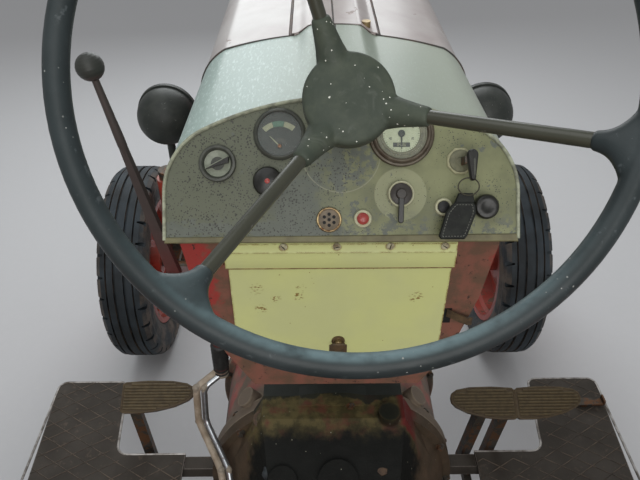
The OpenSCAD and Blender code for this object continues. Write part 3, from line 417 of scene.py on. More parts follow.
def carrier(points, directions=None, sizes=None, edges=()):
    """Bare mesh of points in metres, with the attributes that the trees read."""
    mesh = bpy.data.meshes.new("carrier")
    mesh.from_pydata([tuple(point) for point in points], list(edges), [])
    toward = mesh.attributes.new("toward", "FLOAT_VECTOR", "POINT")
    for spot, way in zip(toward.data, directions or [(0, 0, 1)] * len(points)):
        spot.vector = tuple(way)
    large = mesh.attributes.new("large", "FLOAT", "POINT")
    for spot, size in zip(large.data, sizes or [1.0] * len(points)):
        spot.value = size
    return mesh


def paths(*lines, closed=False):
    """Carrier of several lines of points in metres."""
    points, edges = [], []
    for line in lines:
        first = len(points)
        points += list(line)
        edges += [(first + k, first + k + 1) for k in range(len(line) - 1)]
        if closed:
            edges.append((len(points) - 1, first))
    return carrier(points, edges=edges)


print("pattern tool ready")

# %% [markdown]
# The first tree sets a hexagon head on a washer at every point of its carrier. A seeded
# turn about each bolt's own axis keeps a row of bolts from looking stamped. The second
# sweeps a round section along edges, for beads, pipes, wires and welds.

# %% Trees for bolts and for beads
def bolt_tree():
    tree = Pattern("bolt heads", head_radius="Float", head_height="Float")
    across = tree.given("head_radius")
    tall = tree.given("head_height")
    head = tree.add("GeometryNodeMeshCylinder", {
        "Vertices": 6, "Radius": across, "Depth": tall})
    head = tree.add("GeometryNodeTransform", {
        "Geometry": head, "Translation": tree.add("ShaderNodeCombineXYZ", {
            "Z": tree.add("ShaderNodeMath", {0: tall, 1: 0.72}, operation="MULTIPLY")})})
    washer = tree.add("GeometryNodeMeshCylinder", {
        "Vertices": 20, "Radius": tree.add("ShaderNodeMath", {0: across, 1: 1.45}, operation="MULTIPLY"),
        "Depth": tree.add("ShaderNodeMath", {0: tall, 1: 0.45}, operation="MULTIPLY")})
    turn = tree.add("FunctionNodeAlignRotationToVector", {
        "Vector": tree.attribute("toward")}, axis="Z")
    tree.add("FunctionNodeRandomValue", {2: 0.0, 3: 1.05, "Seed": 11})
    chance = tree.group.nodes[-1].outputs[1]
    turn = tree.add("FunctionNodeRotateRotation", {
        "Rotation": turn, "Rotate By": tree.add("FunctionNodeAxisAngleToRotation", {
            "Axis": (0, 0, 1), "Angle": chance})}, rotation_space="LOCAL")
    bolts = tree.add("GeometryNodeInstanceOnPoints", {
        "Points": tree.given("carrier"), "Instance": tree.join(head, washer), "Rotation": turn,
        "Scale": tree.attribute("large", "FLOAT")})
    return tree.close(bolts)


def bead_tree():
    tree = Pattern("round bead", radius="Float", sides="Int")
    line = tree.add("GeometryNodeMeshToCurve", {"Mesh": tree.given("carrier")})
    section = tree.add("GeometryNodeCurvePrimitiveCircle", {
        "Resolution": tree.given("sides"), "Radius": tree.given("radius")})
    return tree.close(tree.add("GeometryNodeCurveToMesh", {
        "Curve": line, "Profile Curve": section, "Fill Caps": True}))


BOLTS = bolt_tree()
BEAD = bead_tree()
print("trees", [tree.group.name for tree in (BOLTS, BEAD)])

# %% [markdown]
# ## Finishes
# Old paint is the tractor's main finish. On the real machine a coat has faded in blotches
# and has chipped down to another layer. The chips gather in areas, so a slow noise decides
# where the fine noise may break the coat. Sharp edges lose their paint first: the Bevel
# node rounds the normal there, and the gap between the two normals marks the edge.

# %% Old paint
def old_paint(name, coat, faded, under, chips, rough, gather=0.2, shine=0.0, dust=0.0,
              dust_colour=(0.35, 0.31, 0.27), edge=0.0):
    f = Finish(name, Coat_Weight=shine, Coat_Roughness=0.22)
    colour = f.blend(f.mask(f.noise(0.22, 1, 3.0), 0.38, 0.64), coat, faded)
    grain = f.noise(0.006, 2, 5.0, 0.7)
    colour = f.blend(f.times(f.mask(grain, 0.4, 0.75), 0.25), colour, faded)
    field = f.strayed(f.noise(0.022, 4, 9.0, 0.66), f.noise(0.12, 3, 2.0), gather * 4)
    bare = f.mask(field, chips, chips + 0.025)
    if edge:
        bare = f.most(bare, f.times(f.worn_edge(edge), f.mask(f.noise(0.01, 5), 0.4, 0.55)))
    colour = f.blend(bare, colour, under)
    if dust:
        up = f.mask(f.axes(f.normal)["Z"], 0.2, 0.95)
        lies = f.times(up, f.mask(f.noise(0.07, 8, 6.0), 0.3, 0.7), dust)
        colour = f.blend(lies, colour, dust_colour)
    f.raised(bare, 0.0005, -0.6)
    f.raised(grain, 0.0004, 0.25)
    return f.done(colour, f.scaled(grain, 0.25, f.scaled(bare, 0.2, rough - 0.12)))


# The bonnet's coat is faded red paint, and its pale lavender-grey tones are a painted reflection of the
# bright sky on that paint.
bonnet_paint_and_reflection = old_paint("bonnet_paint_and_reflection", (0.30, 0.25, 0.24), (0.40, 0.38, 0.365), (0.15, 0.09, 0.07),
                         chips=0.72, rough=0.40, shine=0.25, dust=0.3, dust_colour=(0.50, 0.47, 0.46))
red_paint = old_paint("red_paint", (0.36, 0.055, 0.035), (0.27, 0.06, 0.045), (0.10, 0.05, 0.035),
                      chips=0.60, rough=0.42, shine=0.2, dust=0.3, edge=0.004)
rim_paint = old_paint("rim_paint", (0.40, 0.05, 0.032), (0.30, 0.055, 0.04), (0.14, 0.08, 0.05),
                      chips=0.62, rough=0.45, shine=0.2, dust=0.2, edge=0.004)
black_enamel = old_paint("black_enamel", (0.016, 0.017, 0.018), (0.022, 0.024, 0.026),
                         (0.12, 0.11, 0.10), chips=0.76, rough=0.34, shine=0.35)
cast_red = old_paint("cast_red", (0.25, 0.07, 0.05), (0.17, 0.065, 0.045), (0.05, 0.035, 0.025),
                     chips=0.53, rough=0.55, gather=0.35, dust=0.3, edge=0.005)
radiator_black = old_paint("radiator_black", (0.020, 0.020, 0.019), (0.034, 0.034, 0.032),
                           (0.09, 0.085, 0.075), chips=0.72, rough=0.6, dust=0.5)
seat_paint = old_paint("seat_paint", (0.26, 0.045, 0.032), (0.17, 0.05, 0.035), (0.13, 0.115, 0.10),
                       chips=0.57, rough=0.42, gather=0.3, edge=0.004)
print("old paint on", [m.name for m in (bonnet_paint_and_reflection, red_paint, rim_paint, cast_red, seat_paint)])

# %% [markdown]
# The cowl's coat is grey-green, and its colour along the X axis is painted light: on the left a
# pale blue painted reflection crossed by fine streaks of painted highlight, a darker middle as
# painted shade, and a lighter right. Two paints with a border would look like a repair. One coat
# whose colour and streaks follow the X axis changes as slowly as the light across the real one does.

# %% Cowl paint
def cowl_finish():
    f = Finish("cowl_paint", Coat_Weight=0.12, Coat_Roughness=0.28)
    # Painted light across the cowl: the base is darker in the middle and lighter on the right, with a pale
    # blue painted reflection on the left.
    left = f.mask(f.axes()["X"], 0.02, -0.13)
    colour = f.blend(f.mask(f.noise(0.2, 1, 3.0), 0.38, 0.64), (0.205, 0.243, 0.195), (0.250, 0.282, 0.230))
    colour = f.blend(f.mask(f.axes()["X"], 0.05, 0.15), colour, (0.310, 0.345, 0.285))
    colour = f.blend(f.times(left, 0.9), colour, (0.275, 0.365, 0.335))
    streak = f.noise(0.0045, 2, 6.0, 0.7, (1.5, 0.4, 0.8))
    # Painted highlight: pale streaks, strongest on the left.
    painted_streak_highlight = f.times(f.mask(streak, 0.50, 0.66), f.scaled(left, 0.55, 0.10))
    colour = f.blend(painted_streak_highlight, colour, (0.56, 0.66, 0.63))
    scratch = f.mask(f.noise(0.014, 3, 9.0, 0.74, (2.2, 0.7, 1)), 0.70, 0.72)
    colour = f.blend(scratch, colour, (0.12, 0.13, 0.105))
    colour = f.blend(f.times(f.specks(0.011, 4, 0.05), 0.6), colour, (0.08, 0.085, 0.07))
    f.raised(f.noise(0.004, 5, 5.0), 0.0003, 0.3)
    return f.done(colour, f.scaled(streak, 0.25, 0.30))


cowl_paint = cowl_finish()
print(cowl_paint.name, len(cowl_paint.node_tree.nodes), "nodes")

# %% [markdown]
# The dash support is red at its sides and brown in the middle, where hands and oil have
# darkened it. The border between them wanders, so a noise shifts the X coordinate before it
# is compared. Dark spots sit in clusters, which takes the product of a fine and a slow mask.

# %% Paint of the dash support
def support_finish():
    f = Finish("support_paint", Coat_Weight=0.1, Coat_Roughness=0.3)
    x = f.strayed(f.axes()["X"], f.noise(0.03, 1, 7.0, 0.65), 0.10)
    side = f.most(f.mask(x, -0.150, -0.166), f.mask(x, 0.190, 0.204))
    red = f.blend(f.noise(0.02, 2, 5.0), (0.30, 0.030, 0.028), (0.20, 0.035, 0.026))
    brown = f.blend(f.mask(f.noise(0.03, 3, 7.0, 0.6), 0.38, 0.62),
                    (0.175, 0.072, 0.050), (0.105, 0.062, 0.040))
    colour = f.blend(side, brown, red)
    spots = f.times(f.mask(f.noise(0.009, 4, 8.0, 0.7), 0.60, 0.63), f.mask(f.noise(0.05, 5), 0.42, 0.5))
    colour = f.blend(spots, colour, (0.028, 0.020, 0.016))
    f.raised(spots, 0.0005, -0.6)
    f.raised(f.noise(0.005, 6, 5.0), 0.0004, 0.3)
    return f.done(colour, f.scaled(f.noise(0.02, 7), 0.25, 0.40))


support_paint = support_finish()
print(support_paint.name, len(support_paint.node_tree.nodes), "nodes")

# %% [markdown]
# The toolbox lid is pale yellow, with rust along every edge and a few scratched marks that
# have places of their own. A list of those marks, as right, up and size in millimetres from
# the lid's middle, puts each one where it is. A noise could only scatter them.

# %% Lid paint
RUST_MARKS = ((-104, -36, 9), (-80, -52, 7), (-48, -36, 7), (-52, -49, 7), (-100, -70, 8), (97, -51, 9))
LID_Y, LID_Z = 807, 1212


def lid_finish():
    f = Finish("lid_paint", Coat_Weight=0.1, Coat_Roughness=0.35)
    colour = f.blend(f.mask(f.noise(0.11, 1, 3.0), 0.36, 0.66), (0.50, 0.53, 0.225), (0.46, 0.485, 0.235))
    colour = f.blend(f.times(f.noise(0.012, 2, 6.0, 0.7), 0.3), colour, (0.40, 0.42, 0.18))
    rust = f.times(f.worn_edge(0.0035), f.mask(f.noise(0.009, 3, 6.0), 0.36, 0.55))
    scratch = f.mask(f.noise(0.0045, 4, 6.0, 0.6, (1, 1, 1.6)), 0.53, 0.57)
    for x, z, size in RUST_MARKS:
        spot = f.spot(at(x, LID_Y, LID_Z + z), size * MM * 0.6, size * MM * 1.2)
        rust = f.most(rust, f.times(spot, scratch))
    rust = f.most(rust, f.times(f.specks(0.012, 5, 0.07), f.mask(f.noise(0.05, 6), 0.5, 0.56)))
    colour = f.blend(rust, colour, f.blend(f.noise(0.004, 7), (0.13, 0.075, 0.02), (0.24, 0.15, 0.035)))
    f.raised(rust, 0.0004, -0.5)
    return f.done(colour, f.scaled(f.noise(0.02, 8), 0.2, 0.42))


lid_paint = lid_finish()
print(lid_paint.name, len(RUST_MARKS), "marks")

# %% [markdown]
# The lamp shells are black, with thin scratches that lie mostly level. The hand lever changes
# colour along its height: red paint low down, a bare brown rod above it, a dark tip, and pale
# dirt at the foot. Masks on the Z axis paint those zones, so the lever can stay one solid.

# %% Lamp shells and lever
def lamp_finish():
    f = Finish("lamp_shell", Specular_IOR_Level=0.3)
    colour = f.blend(f.mask(f.noise(0.04, 1, 5.0), 0.4, 0.65), (0.024, 0.028, 0.025), (0.036, 0.040, 0.035))
    scratch = f.mask(f.noise(0.010, 2, 9.0, 0.72, (1, 1, 2.4), 0.8), 0.655, 0.675)
    colour = f.blend(scratch, colour, (0.30, 0.30, 0.27))
    f.raised(f.noise(0.006, 3, 4.0), 0.0003, 0.3)
    return f.done(colour, f.scaled(f.noise(0.02, 4), 0.2, 0.40))


def lever_finish():
    f = Finish("lever_paint", Specular_IOR_Level=0.25)
    height = f.plus(f.axes()["Z"], f.times(f.noise(0.05, 1, 5.0), 0.08))
    rod = f.blend(f.noise(0.012, 2, 6.0), (0.060, 0.046, 0.042), (0.038, 0.033, 0.030))
    red = f.blend(f.noise(0.02, 3, 6.0), (0.105, 0.030, 0.028), (0.060, 0.026, 0.022))
    colour = f.blend(f.mask(height, 1.10, 1.20), red, rod)
    colour = f.blend(f.mask(height, 1.415, 1.425), colour, (0.030, 0.032, 0.028))
    colour = f.blend(f.mask(height, 0.868, 0.860), colour, (0.22, 0.19, 0.15))
    return f.done(colour, f.scaled(f.noise(0.01, 4), 0.2, 0.34))


lamp_shell = lamp_finish()
lever_paint = lever_finish()
print("shells and lever", [m.name for m in (lamp_shell, lever_paint)])

# %% [markdown]
# The dash is the face of the tractor. Its cream coat is cleaner on the right, peppered with
# dark pits on the left, and rubbed through to grey in the middle and in a band along the
# lower edge, where knees and hands go. The marks have places of their own, so this finish
# reads the dash plane: a Mapping node of the Texture type turns Object coordinates into it.

# %% Dash paint
DISC_MARK = (0.0, -0.026, 0)
CLEAN_MARK = (0.0672, -0.0732, 0)


def dash_wear(f, here, across, height):
    """1 where the cream coat is rubbed or chipped through."""
    band = f.times(f.mask(height, -0.104, -0.107), f.mask(across, 0.012, 0.0),
                   f.mask(height, -0.1215, -0.119))
    knee = f.times(f.mask(across, -0.088, -0.07), f.mask(across, -0.018, -0.032),
                   f.mask(height, -0.035, -0.06))
    disc = f.times(f.spot(DISC_MARK, 0.040, 0.046, here), f.mask(f.noise(0.012, 3, 8.0, 0.7), 0.46, 0.54))
    strip = f.times(f.mask(across, -0.012, -0.009), f.mask(across, 0.006, 0.003),
                    f.mask(height, -0.075, -0.07))
    chipping = f.plus(f.noise(0.013, 4, 9.0, 0.68), f.times(f.noise(0.06, 5, 2.0), 0.5))
    low = f.times(f.mask(height, -0.085, -0.118), f.mask(f.noise(0.012, 6, 8.0, 0.7), 0.5, 0.56))
    bare = f.most(band, knee, disc, strip, f.mask(chipping, 0.90, 0.92), low)
    scuffs = f.mask(f.noise(0.009, 7, 9.0, 0.75, (1, 3, 1), 0.6, here), 0.58, 0.64)
    return f.times(bare, f.flip(f.times(scuffs, 0.8)))


def dash_pits(f, left):
    """1 in the dark pits, which lie closer on the left."""
    field = f.plus(f.cells(0.0027, 9), f.times(f.noise(0.03, 10, 4.0), 0.7))
    pits = f.calc("LESS_THAN", field, f.plus(f.scaled(left, 0.17, 0.10), 0.40))
    return f.times(pits, f.mask(f.noise(0.004, 11, 3.0), 0.38, 0.46))


def dash_paint_finish():
    f = Finish("dash_paint", Coat_Weight=0.1, Coat_Roughness=0.3)
    here = f.local(DASH_CENTRE, COLUMN)
    wobble = f.times(f.calc("SUBTRACT", f.noise(0.018, 1, 6.0, 0.65), 0.5), 0.035)
    across = f.plus(f.axes(here)["X"], wobble)
    height = f.plus(f.axes(here)["Y"], wobble)
    left = f.flip(f.mask(across, -0.06, 0.05))
    colour = f.blend(f.mask(f.noise(0.05, 2, 5.0), 0.35, 0.68), (0.116, 0.124, 0.063), (0.182, 0.192, 0.096))
    colour = f.blend(f.times(left, 0.95), colour, (0.084, 0.092, 0.062))
    colour = f.blend(f.times(f.spot(CLEAN_MARK, 0.029, 0.0305, here), 0.5), colour, (0.29, 0.30, 0.18))
    bare = dash_wear(f, here, across, height)
    grey = f.blend(f.noise(0.01, 8, 6.0), (0.070, 0.080, 0.066), (0.105, 0.115, 0.092))
    colour = f.blend(bare, colour, grey)
    ring = f.times(f.near(DISC_MARK, 0.0438, 0.0444, here), f.spot(DISC_MARK, 0.0450, 0.0456, here))
    colour = f.blend(f.times(ring, 0.45), colour, (0.26, 0.26, 0.18))
    pits = dash_pits(f, left)
    colour = f.blend(pits, colour, (0.030, 0.030, 0.024))
    f.raised(f.most(bare, pits), 0.0004, -0.6)
    f.raised(f.noise(0.003, 12, 4.0), 0.0002, 0.3)
    return f.done(colour, f.scaled(f.noise(0.02, 13), 0.3, 0.38))


dash_paint = dash_paint_finish()
print(dash_paint.name, len(dash_paint.node_tree.nodes), "nodes")

# %% [markdown]
# The steering wheel is steel under a blue-grey plastic coat. Hands keep the rim dull. On top of
# the rim's near part a pale blue painted highlight stands for the light from ahead, so a mask on
# the normal and one on the Y axis meet there. The boss cap is greener and carries pale specks.
# Specks are the hearts of large Voronoi cells, so they never touch. The spokes are bare rods whose paint has
# gone brown.

# %% Wheel finishes
HIGHLIGHT_FROM, HIGHLIGHT_FULL = 0.05, 0.16


def wheel_coat_finish():
    f = Finish("wheel_coat", Coat_Weight=0.1, Coat_Roughness=0.3, Specular_IOR_Level=0.2)
    colour = f.blend(f.mask(f.noise(0.09, 1, 5.0), 0.35, 0.7), (0.016, 0.022, 0.023), (0.026, 0.034, 0.036))
    # Painted highlight: pale blue where the normal faces forward and up, on the near part of the rim.
    facing_up = f.axes(f.normal)
    lean = f.plus(f.times(facing_up["Y"], 0.76), f.times(facing_up["Z"], 0.65))
    near_side = f.mask(f.axes()["Y"], WHEEL_CENTRE.y - HIGHLIGHT_FROM, WHEEL_CENTRE.y - HIGHLIGHT_FULL)
    painted_highlight = f.times(f.mask(lean, -0.1, 0.75), near_side, f.mask(f.noise(0.02, 7, 4.0), 0.1, 0.6))
    colour = f.blend(painted_highlight, colour, (0.160, 0.235, 0.250))
    rubbed = f.mask(f.noise(0.012, 2, 8.0, 0.7), 0.60, 0.68)
    colour = f.blend(f.times(rubbed, 0.5), colour, (0.085, 0.10, 0.105))
    specks = f.times(f.specks(0.007, 3, 0.10), f.mask(f.noise(0.05, 4), 0.52, 0.6))
    colour = f.blend(specks, colour, (0.22, 0.23, 0.22))
    f.raised(f.noise(0.0022, 5, 3.0), 0.00025, 0.5)
    return f.done(colour, f.scaled(f.noise(0.03, 6, 6.0), 0.25, 0.36))


def boss_coat_finish():
    f = Finish("boss_coat", Specular_IOR_Level=0.2)
    colour = f.blend(f.mask(f.noise(0.03, 1, 6.0, 0.65), 0.36, 0.7),
                     (0.040, 0.050, 0.038), (0.060, 0.071, 0.052))
    haze = f.mask(f.noise(0.018, 2, 5.0, 0.6, warp=1.2), 0.56, 0.72)
    colour = f.blend(f.times(haze, 0.25), colour, (0.13, 0.14, 0.12))
    specks = f.specks(0.0062, 3, f.times(f.noise(0.012, 9), 0.20))
    specks = f.times(specks, f.mask(f.noise(0.025, 4), 0.44, 0.5))
    colour = f.blend(specks, colour, (0.55, 0.56, 0.50))
    f.raised(f.noise(0.0016, 5, 3.0), 0.0002, 0.4)
    return f.done(colour, f.scaled(f.noise(0.01, 6, 5.0), 0.25, 0.45))


def spoke_finish():
    f = Finish("spoke_paint", Coat_Weight=0.08, Coat_Roughness=0.25)
    colour = f.blend(f.noise(0.05, 1, 5.0), (0.032, 0.034, 0.024), (0.050, 0.050, 0.036))
    worn = f.mask(f.noise(0.02, 2, 9.0, 0.7), 0.64, 0.68)
    colour = f.blend(worn, colour, (0.15, 0.145, 0.12))
    f.raised(worn, 0.0002, -0.5)
    return f.done(colour, f.scaled(worn, 0.2, 0.3))


wheel_coat = wheel_coat_finish()
boss_coat = boss_coat_finish()
spoke_paint = spoke_finish()
print("wheel finishes", [m.name for m in (wheel_coat, boss_coat, spoke_paint)])

# %% [markdown]
# Castings near the driver's feet are black with grease. Where the grease stops, ochre oil
# film and a little red paint show. Grease is lumpy and glossy, dry dirt is matt, so one
# noise drives colour, relief and gloss together.

# %% Greasy castings
def greasy_cast_finish():
    f = Finish("cast_dark", Specular_IOR_Level=0.35)
    lumps = f.noise(0.055, 1, 7.0, 0.6)
    thick = f.mask(lumps, 0.44, 0.55)
    film = f.blend(f.mask(f.noise(0.03, 3, 6.0), 0.4, 0.65), (0.05, 0.038, 0.024), (0.085, 0.055, 0.028))
    film = f.blend(f.mask(f.noise(0.10, 4, 4.0), 0.54, 0.58), film, (0.16, 0.025, 0.02))
    colour = f.blend(thick, film, (0.010, 0.009, 0.008))
    colour = f.blend(f.times(f.specks(0.012, 5, 0.06), 0.6), colour, (0.20, 0.19, 0.16))
    f.raised(lumps, 0.004, 0.5)
    f.raised(f.noise(0.0035, 6, 4.0), 0.0008, 0.5)
    return f.done(colour, f.calc("SUBTRACT", 0.62, f.times(thick, 0.26)))


cast_dark = greasy_cast_finish()
print(cast_dark.name, len(cast_dark.node_tree.nodes), "nodes")

# %% [markdown]
# The cover of the gearbox and the clutch housing meet in front of the pedals. Near the joint
# the oil film is rubbed thin, further back the grease lies black, and the flanks keep some
# red. Those zones follow the solid, so both finishes compare the distance along the tractor,
# the distance from its middle and the height with a value, each with a noise for its border.

# %% Gearbox cover and clutch housing
def along(y):
    """Y in metres of a distance ahead of the rear axle."""
    return at(0, y, 0).y


def housing_finish():
    """Gearbox cover: ochre film ahead, black grease behind, some red at the right flange."""
    f = Finish("bell_cast", Specular_IOR_Level=0.12)
    here = f.axes()
    ahead = f.strayed(here["Y"], f.noise(0.035, 1, 7.0, 0.62), 0.06)
    film = f.blend(f.mask(f.noise(0.022, 2, 7.0, 0.6), 0.40, 0.62),
                   (0.052, 0.044, 0.020), (0.098, 0.080, 0.034))
    film = f.blend(f.mask(f.noise(0.030, 3, 6.0), 0.50, 0.72), film, (0.100, 0.040, 0.026))
    grease = f.blend(f.noise(0.02, 4, 6.0), (0.003, 0.0035, 0.003), (0.008, 0.0085, 0.007))
    colour = f.blend(f.mask(ahead, along(866), along(897)), grease, film)
    far = f.mask(ahead, along(938), along(944))
    colour = f.blend(f.times(far, 0.85), colour, (0.016, 0.019, 0.016))
    right = f.times(f.mask(here["X"], 0.112, 0.124), f.mask(ahead, along(880), along(892)))
    red = f.blend(f.noise(0.03, 5, 4.0), (0.15, 0.012, 0.012), (0.05, 0.022, 0.016))
    colour = f.blend(right, colour, red)
    lug = f.spot(at(98, 904, 790), 0.017, 0.026)
    colour = f.blend(f.times(lug, 0.9), colour, (0.010, 0.012, 0.010))
    outwards = f.plus(f.calc("ABSOLUTE", here["X"]), f.times(f.noise(0.04, 6, 6.0), 0.06))
    dirt = f.blend(f.noise(0.03, 7, 6.0), (0.030, 0.026, 0.018), (0.105, 0.070, 0.045))
    colour = f.blend(f.mask(outwards, 0.168, 0.190), colour, dirt)
    colour = f.blend(f.times(f.specks(0.016, 8, 0.055), 0.8), colour, (0.30, 0.30, 0.24))
    f.raised(f.noise(0.05, 9, 7.0, 0.6), 0.004, 0.35)
    f.raised(f.noise(0.004, 10, 4.0), 0.0008, 0.4)
    return f.done(colour, f.scaled(f.noise(0.03, 11, 5.0), 0.3, 0.42))


def clutch_finish():
    """Clutch housing: black on the pad, dusty red on the flanks, tan worn edges."""
    f = Finish("clutch_cast", Specular_IOR_Level=0.3)
    here = f.axes()
    outwards = f.strayed(f.calc("ABSOLUTE", here["X"]), f.noise(0.03, 1, 6.0), 0.02)
    red = f.blend(f.mask(f.noise(0.06, 2, 5.0), 0.40, 0.60), (0.30, 0.080, 0.070), (0.26, 0.13, 0.095))
    brown = f.blend(f.noise(0.04, 8, 5.0), (0.17, 0.13, 0.10), (0.105, 0.085, 0.062))
    dusty = f.blend(f.mask(f.noise(0.05, 3, 7.0), 0.42, 0.60), red, brown)
    dusty = f.blend(f.mask(here["Y"], along(1030), along(1000)), dusty, brown)
    pad = f.times(f.mask(outwards, 0.134, 0.126), f.mask(here["Z"], 0.774, 0.782))
    black = f.blend(f.noise(0.02, 4, 6.0), (0.014, 0.017, 0.015), (0.024, 0.027, 0.023))
    colour = f.blend(pad, dusty, black)
    oily = f.times(f.mask(here["Z"], 0.66, 0.60), 0.8)
    colour = f.blend(oily, colour, (0.06, 0.045, 0.034))
    edge = f.times(f.worn_edge(0.006), f.mask(f.noise(0.012, 5, 6.0), 0.38, 0.52),
                   f.calc("SUBTRACT", 0.8, f.mask(here["Z"], 0.768, 0.780)))
    colour = f.blend(f.most(edge, 0.0), colour, (0.24, 0.20, 0.14))
    f.raised(f.noise(0.03, 6, 7.0, 0.6), 0.002, 0.35)
    return f.done(colour, f.scaled(f.noise(0.03, 7, 5.0), 0.25, 0.50))


bell_cast = housing_finish()
clutch_cast = clutch_finish()
print("housings", [m.name for m in (bell_cast, clutch_cast)])

# %% [markdown]
# Bare steel, brass and alloy share one recipe: two tones of metal, a fine grain, and rust
# that spreads as its share grows. Rust is no metal and stands proud, so it changes colour
# and relief at once. The shader's metallic value stays one number for the whole surface.

# %% Steel and alloys
def metal(name, colour, dark, rough, rust=0.0, metallic=0.9):
    f = Finish(name, Metallic=metallic)
    shade = f.blend(f.mask(f.noise(0.03, 1, 6.0, 0.6), 0.35, 0.7), colour, dark)
    marks = f.noise(0.004, 2, 6.0, 0.7)
    if rust:
        brown = f.mask(f.noise(0.025, 3, 9.0, 0.68), 0.62 - rust * 0.3, 0.68 - rust * 0.3)
        shade = f.blend(brown, shade, f.blend(marks, (0.09, 0.045, 0.022), (0.17, 0.085, 0.045)))
        f.raised(brown, 0.0005, 0.4)
    f.raised(marks, 0.0003, 0.35)
    return f.done(shade, f.scaled(marks, 0.3, rough - 0.1))


steel = metal("steel", (0.30, 0.29, 0.27), (0.14, 0.13, 0.12), 0.4, rust=0.35, metallic=0.75)
dark_steel = metal("dark_steel", (0.085, 0.075, 0.062), (0.045, 0.04, 0.034), 0.45, rust=0.45, metallic=0.5)
bright_steel = metal("bright_steel", (0.42, 0.44, 0.46), (0.24, 0.25, 0.26), 0.28, rust=0.1)
brass = metal("brass", (0.36, 0.27, 0.14), (0.17, 0.12, 0.07), 0.4, rust=0.3)
alloy = metal("alloy", (0.36, 0.35, 0.32), (0.17, 0.16, 0.14), 0.5, metallic=0.6)
exhaust_rust = metal("exhaust_rust", (0.075, 0.05, 0.036), (0.04, 0.033, 0.028), 0.6, rust=0.75, metallic=0.2)
print("metals", [m.name for m in (steel, dark_steel, bright_steel, brass, alloy, exhaust_rust)])

# %% [markdown]
# Rubber ages by losing its black: a blue bloom on the tread and tan road dust on the flanks.
# The flank is where the Object normal points sideways, so the dust lies there by itself.
# The foot plates are painted steel worn to a shine on every edge that boots meet, and the
# pads are ribbed rubber gone brown. The key's leather fob has a grain of small cells.

# %% Rubber, tread plates, pads and leather
def rubber_finish():
    f = Finish("tyre_rubber")
    colour = f.blend(f.mask(f.noise(0.12, 1, 5.0), 0.36, 0.66), (0.012, 0.015, 0.017), (0.030, 0.040, 0.048))
    side = f.mask(f.calc("ABSOLUTE", f.axes(f.normal)["X"]), 0.40, 0.75)
    dirty = f.times(side, f.mask(f.noise(0.06, 2, 8.0, 0.65), 0.36, 0.66))
    colour = f.blend(f.times(dirty, 0.8), colour, (0.17, 0.13, 0.10))
    fine = f.noise(0.003, 4, 5.0, 0.65)
    f.raised(f.mask(f.cells(0.01, 3, True), 0.0, 0.05), 0.0003, 0.25)
    f.raised(fine, 0.0005, 0.4)
    return f.done(colour, f.scaled(fine, 0.25, 0.5))


def tread_plate_finish():
    f = Finish("tread_plate", Specular_IOR_Level=0.3)
    colour = f.blend(f.mask(f.noise(0.08, 1, 6.0), 0.36, 0.66), (0.034, 0.028, 0.022), (0.052, 0.044, 0.036))
    mud = f.mask(f.noise(0.02, 2, 9.0, 0.7), 0.56, 0.70)
    colour = f.blend(f.times(mud, 0.6), colour, (0.11, 0.082, 0.062))
    edge = f.times(f.worn_edge(0.003), f.mask(f.noise(0.015, 3, 5.0), 0.3, 0.5))
    colour = f.blend(f.times(edge, 0.8), colour, (0.20, 0.17, 0.15))
    f.raised(mud, 0.0006, 0.4)
    f.raised(f.noise(0.004, 4, 5.0), 0.0005, 0.4)
    return f.done(colour, f.calc("SUBTRACT", 0.72, f.times(edge, 0.30)))


def pad_finish():
    f = Finish("pad_rubber")
    streak = f.noise(0.006, 1, 6.0, 0.65, (0.25, 1, 1))
    colour = f.blend(f.mask(streak, 0.35, 0.68), (0.050, 0.034, 0.018), (0.080, 0.058, 0.030))
    f.raised(streak, 0.0006, 0.45)
    return f.done(colour, f.scaled(streak, 0.2, 0.5))


def leather_finish():
    f = Finish("fob_leather", Specular_IOR_Level=0.15)
    colour = f.blend(f.mask(f.noise(0.01, 2, 5.0), 0.4, 0.7), (0.009, 0.010, 0.009), (0.016, 0.018, 0.015))
    scuff = f.mask(f.noise(0.006, 3, 8.0, 0.7), 0.66, 0.72)
    colour = f.blend(f.times(scuff, 0.5), colour, (0.09, 0.09, 0.09))
    f.raised(f.cells(0.0012, 1), 0.0002, 0.5)
    return f.done(colour, 0.5)


tyre_rubber = rubber_finish()
tread_plate = tread_plate_finish()
pad_rubber = pad_finish()
fob_leather = leather_finish()
print("soft trim", [m.name for m in (tyre_rubber, tread_plate, pad_rubber, fob_leather)])

# %% [markdown]
# Small parts are seen from far away and need less: two tones that a fine noise mixes, a
# little relief from the same noise, and a gloss that follows it. Each line below gives the
# name, the two tones, the roughness and, where it isn't 6 mm, the size of the noise.

# %% Plain finishes
def plain_finish(name, colour, second, rough, size=0.006, **sockets):
    f = Finish(name, **sockets)
    fine = f.noise(size, 1, 5.0, 0.6)
    f.raised(fine, 0.0001, 0.3)
    return f.done(f.blend(f.mask(fine, 0.35, 0.7), colour, second), f.scaled(fine, 0.16, rough - 0.08))


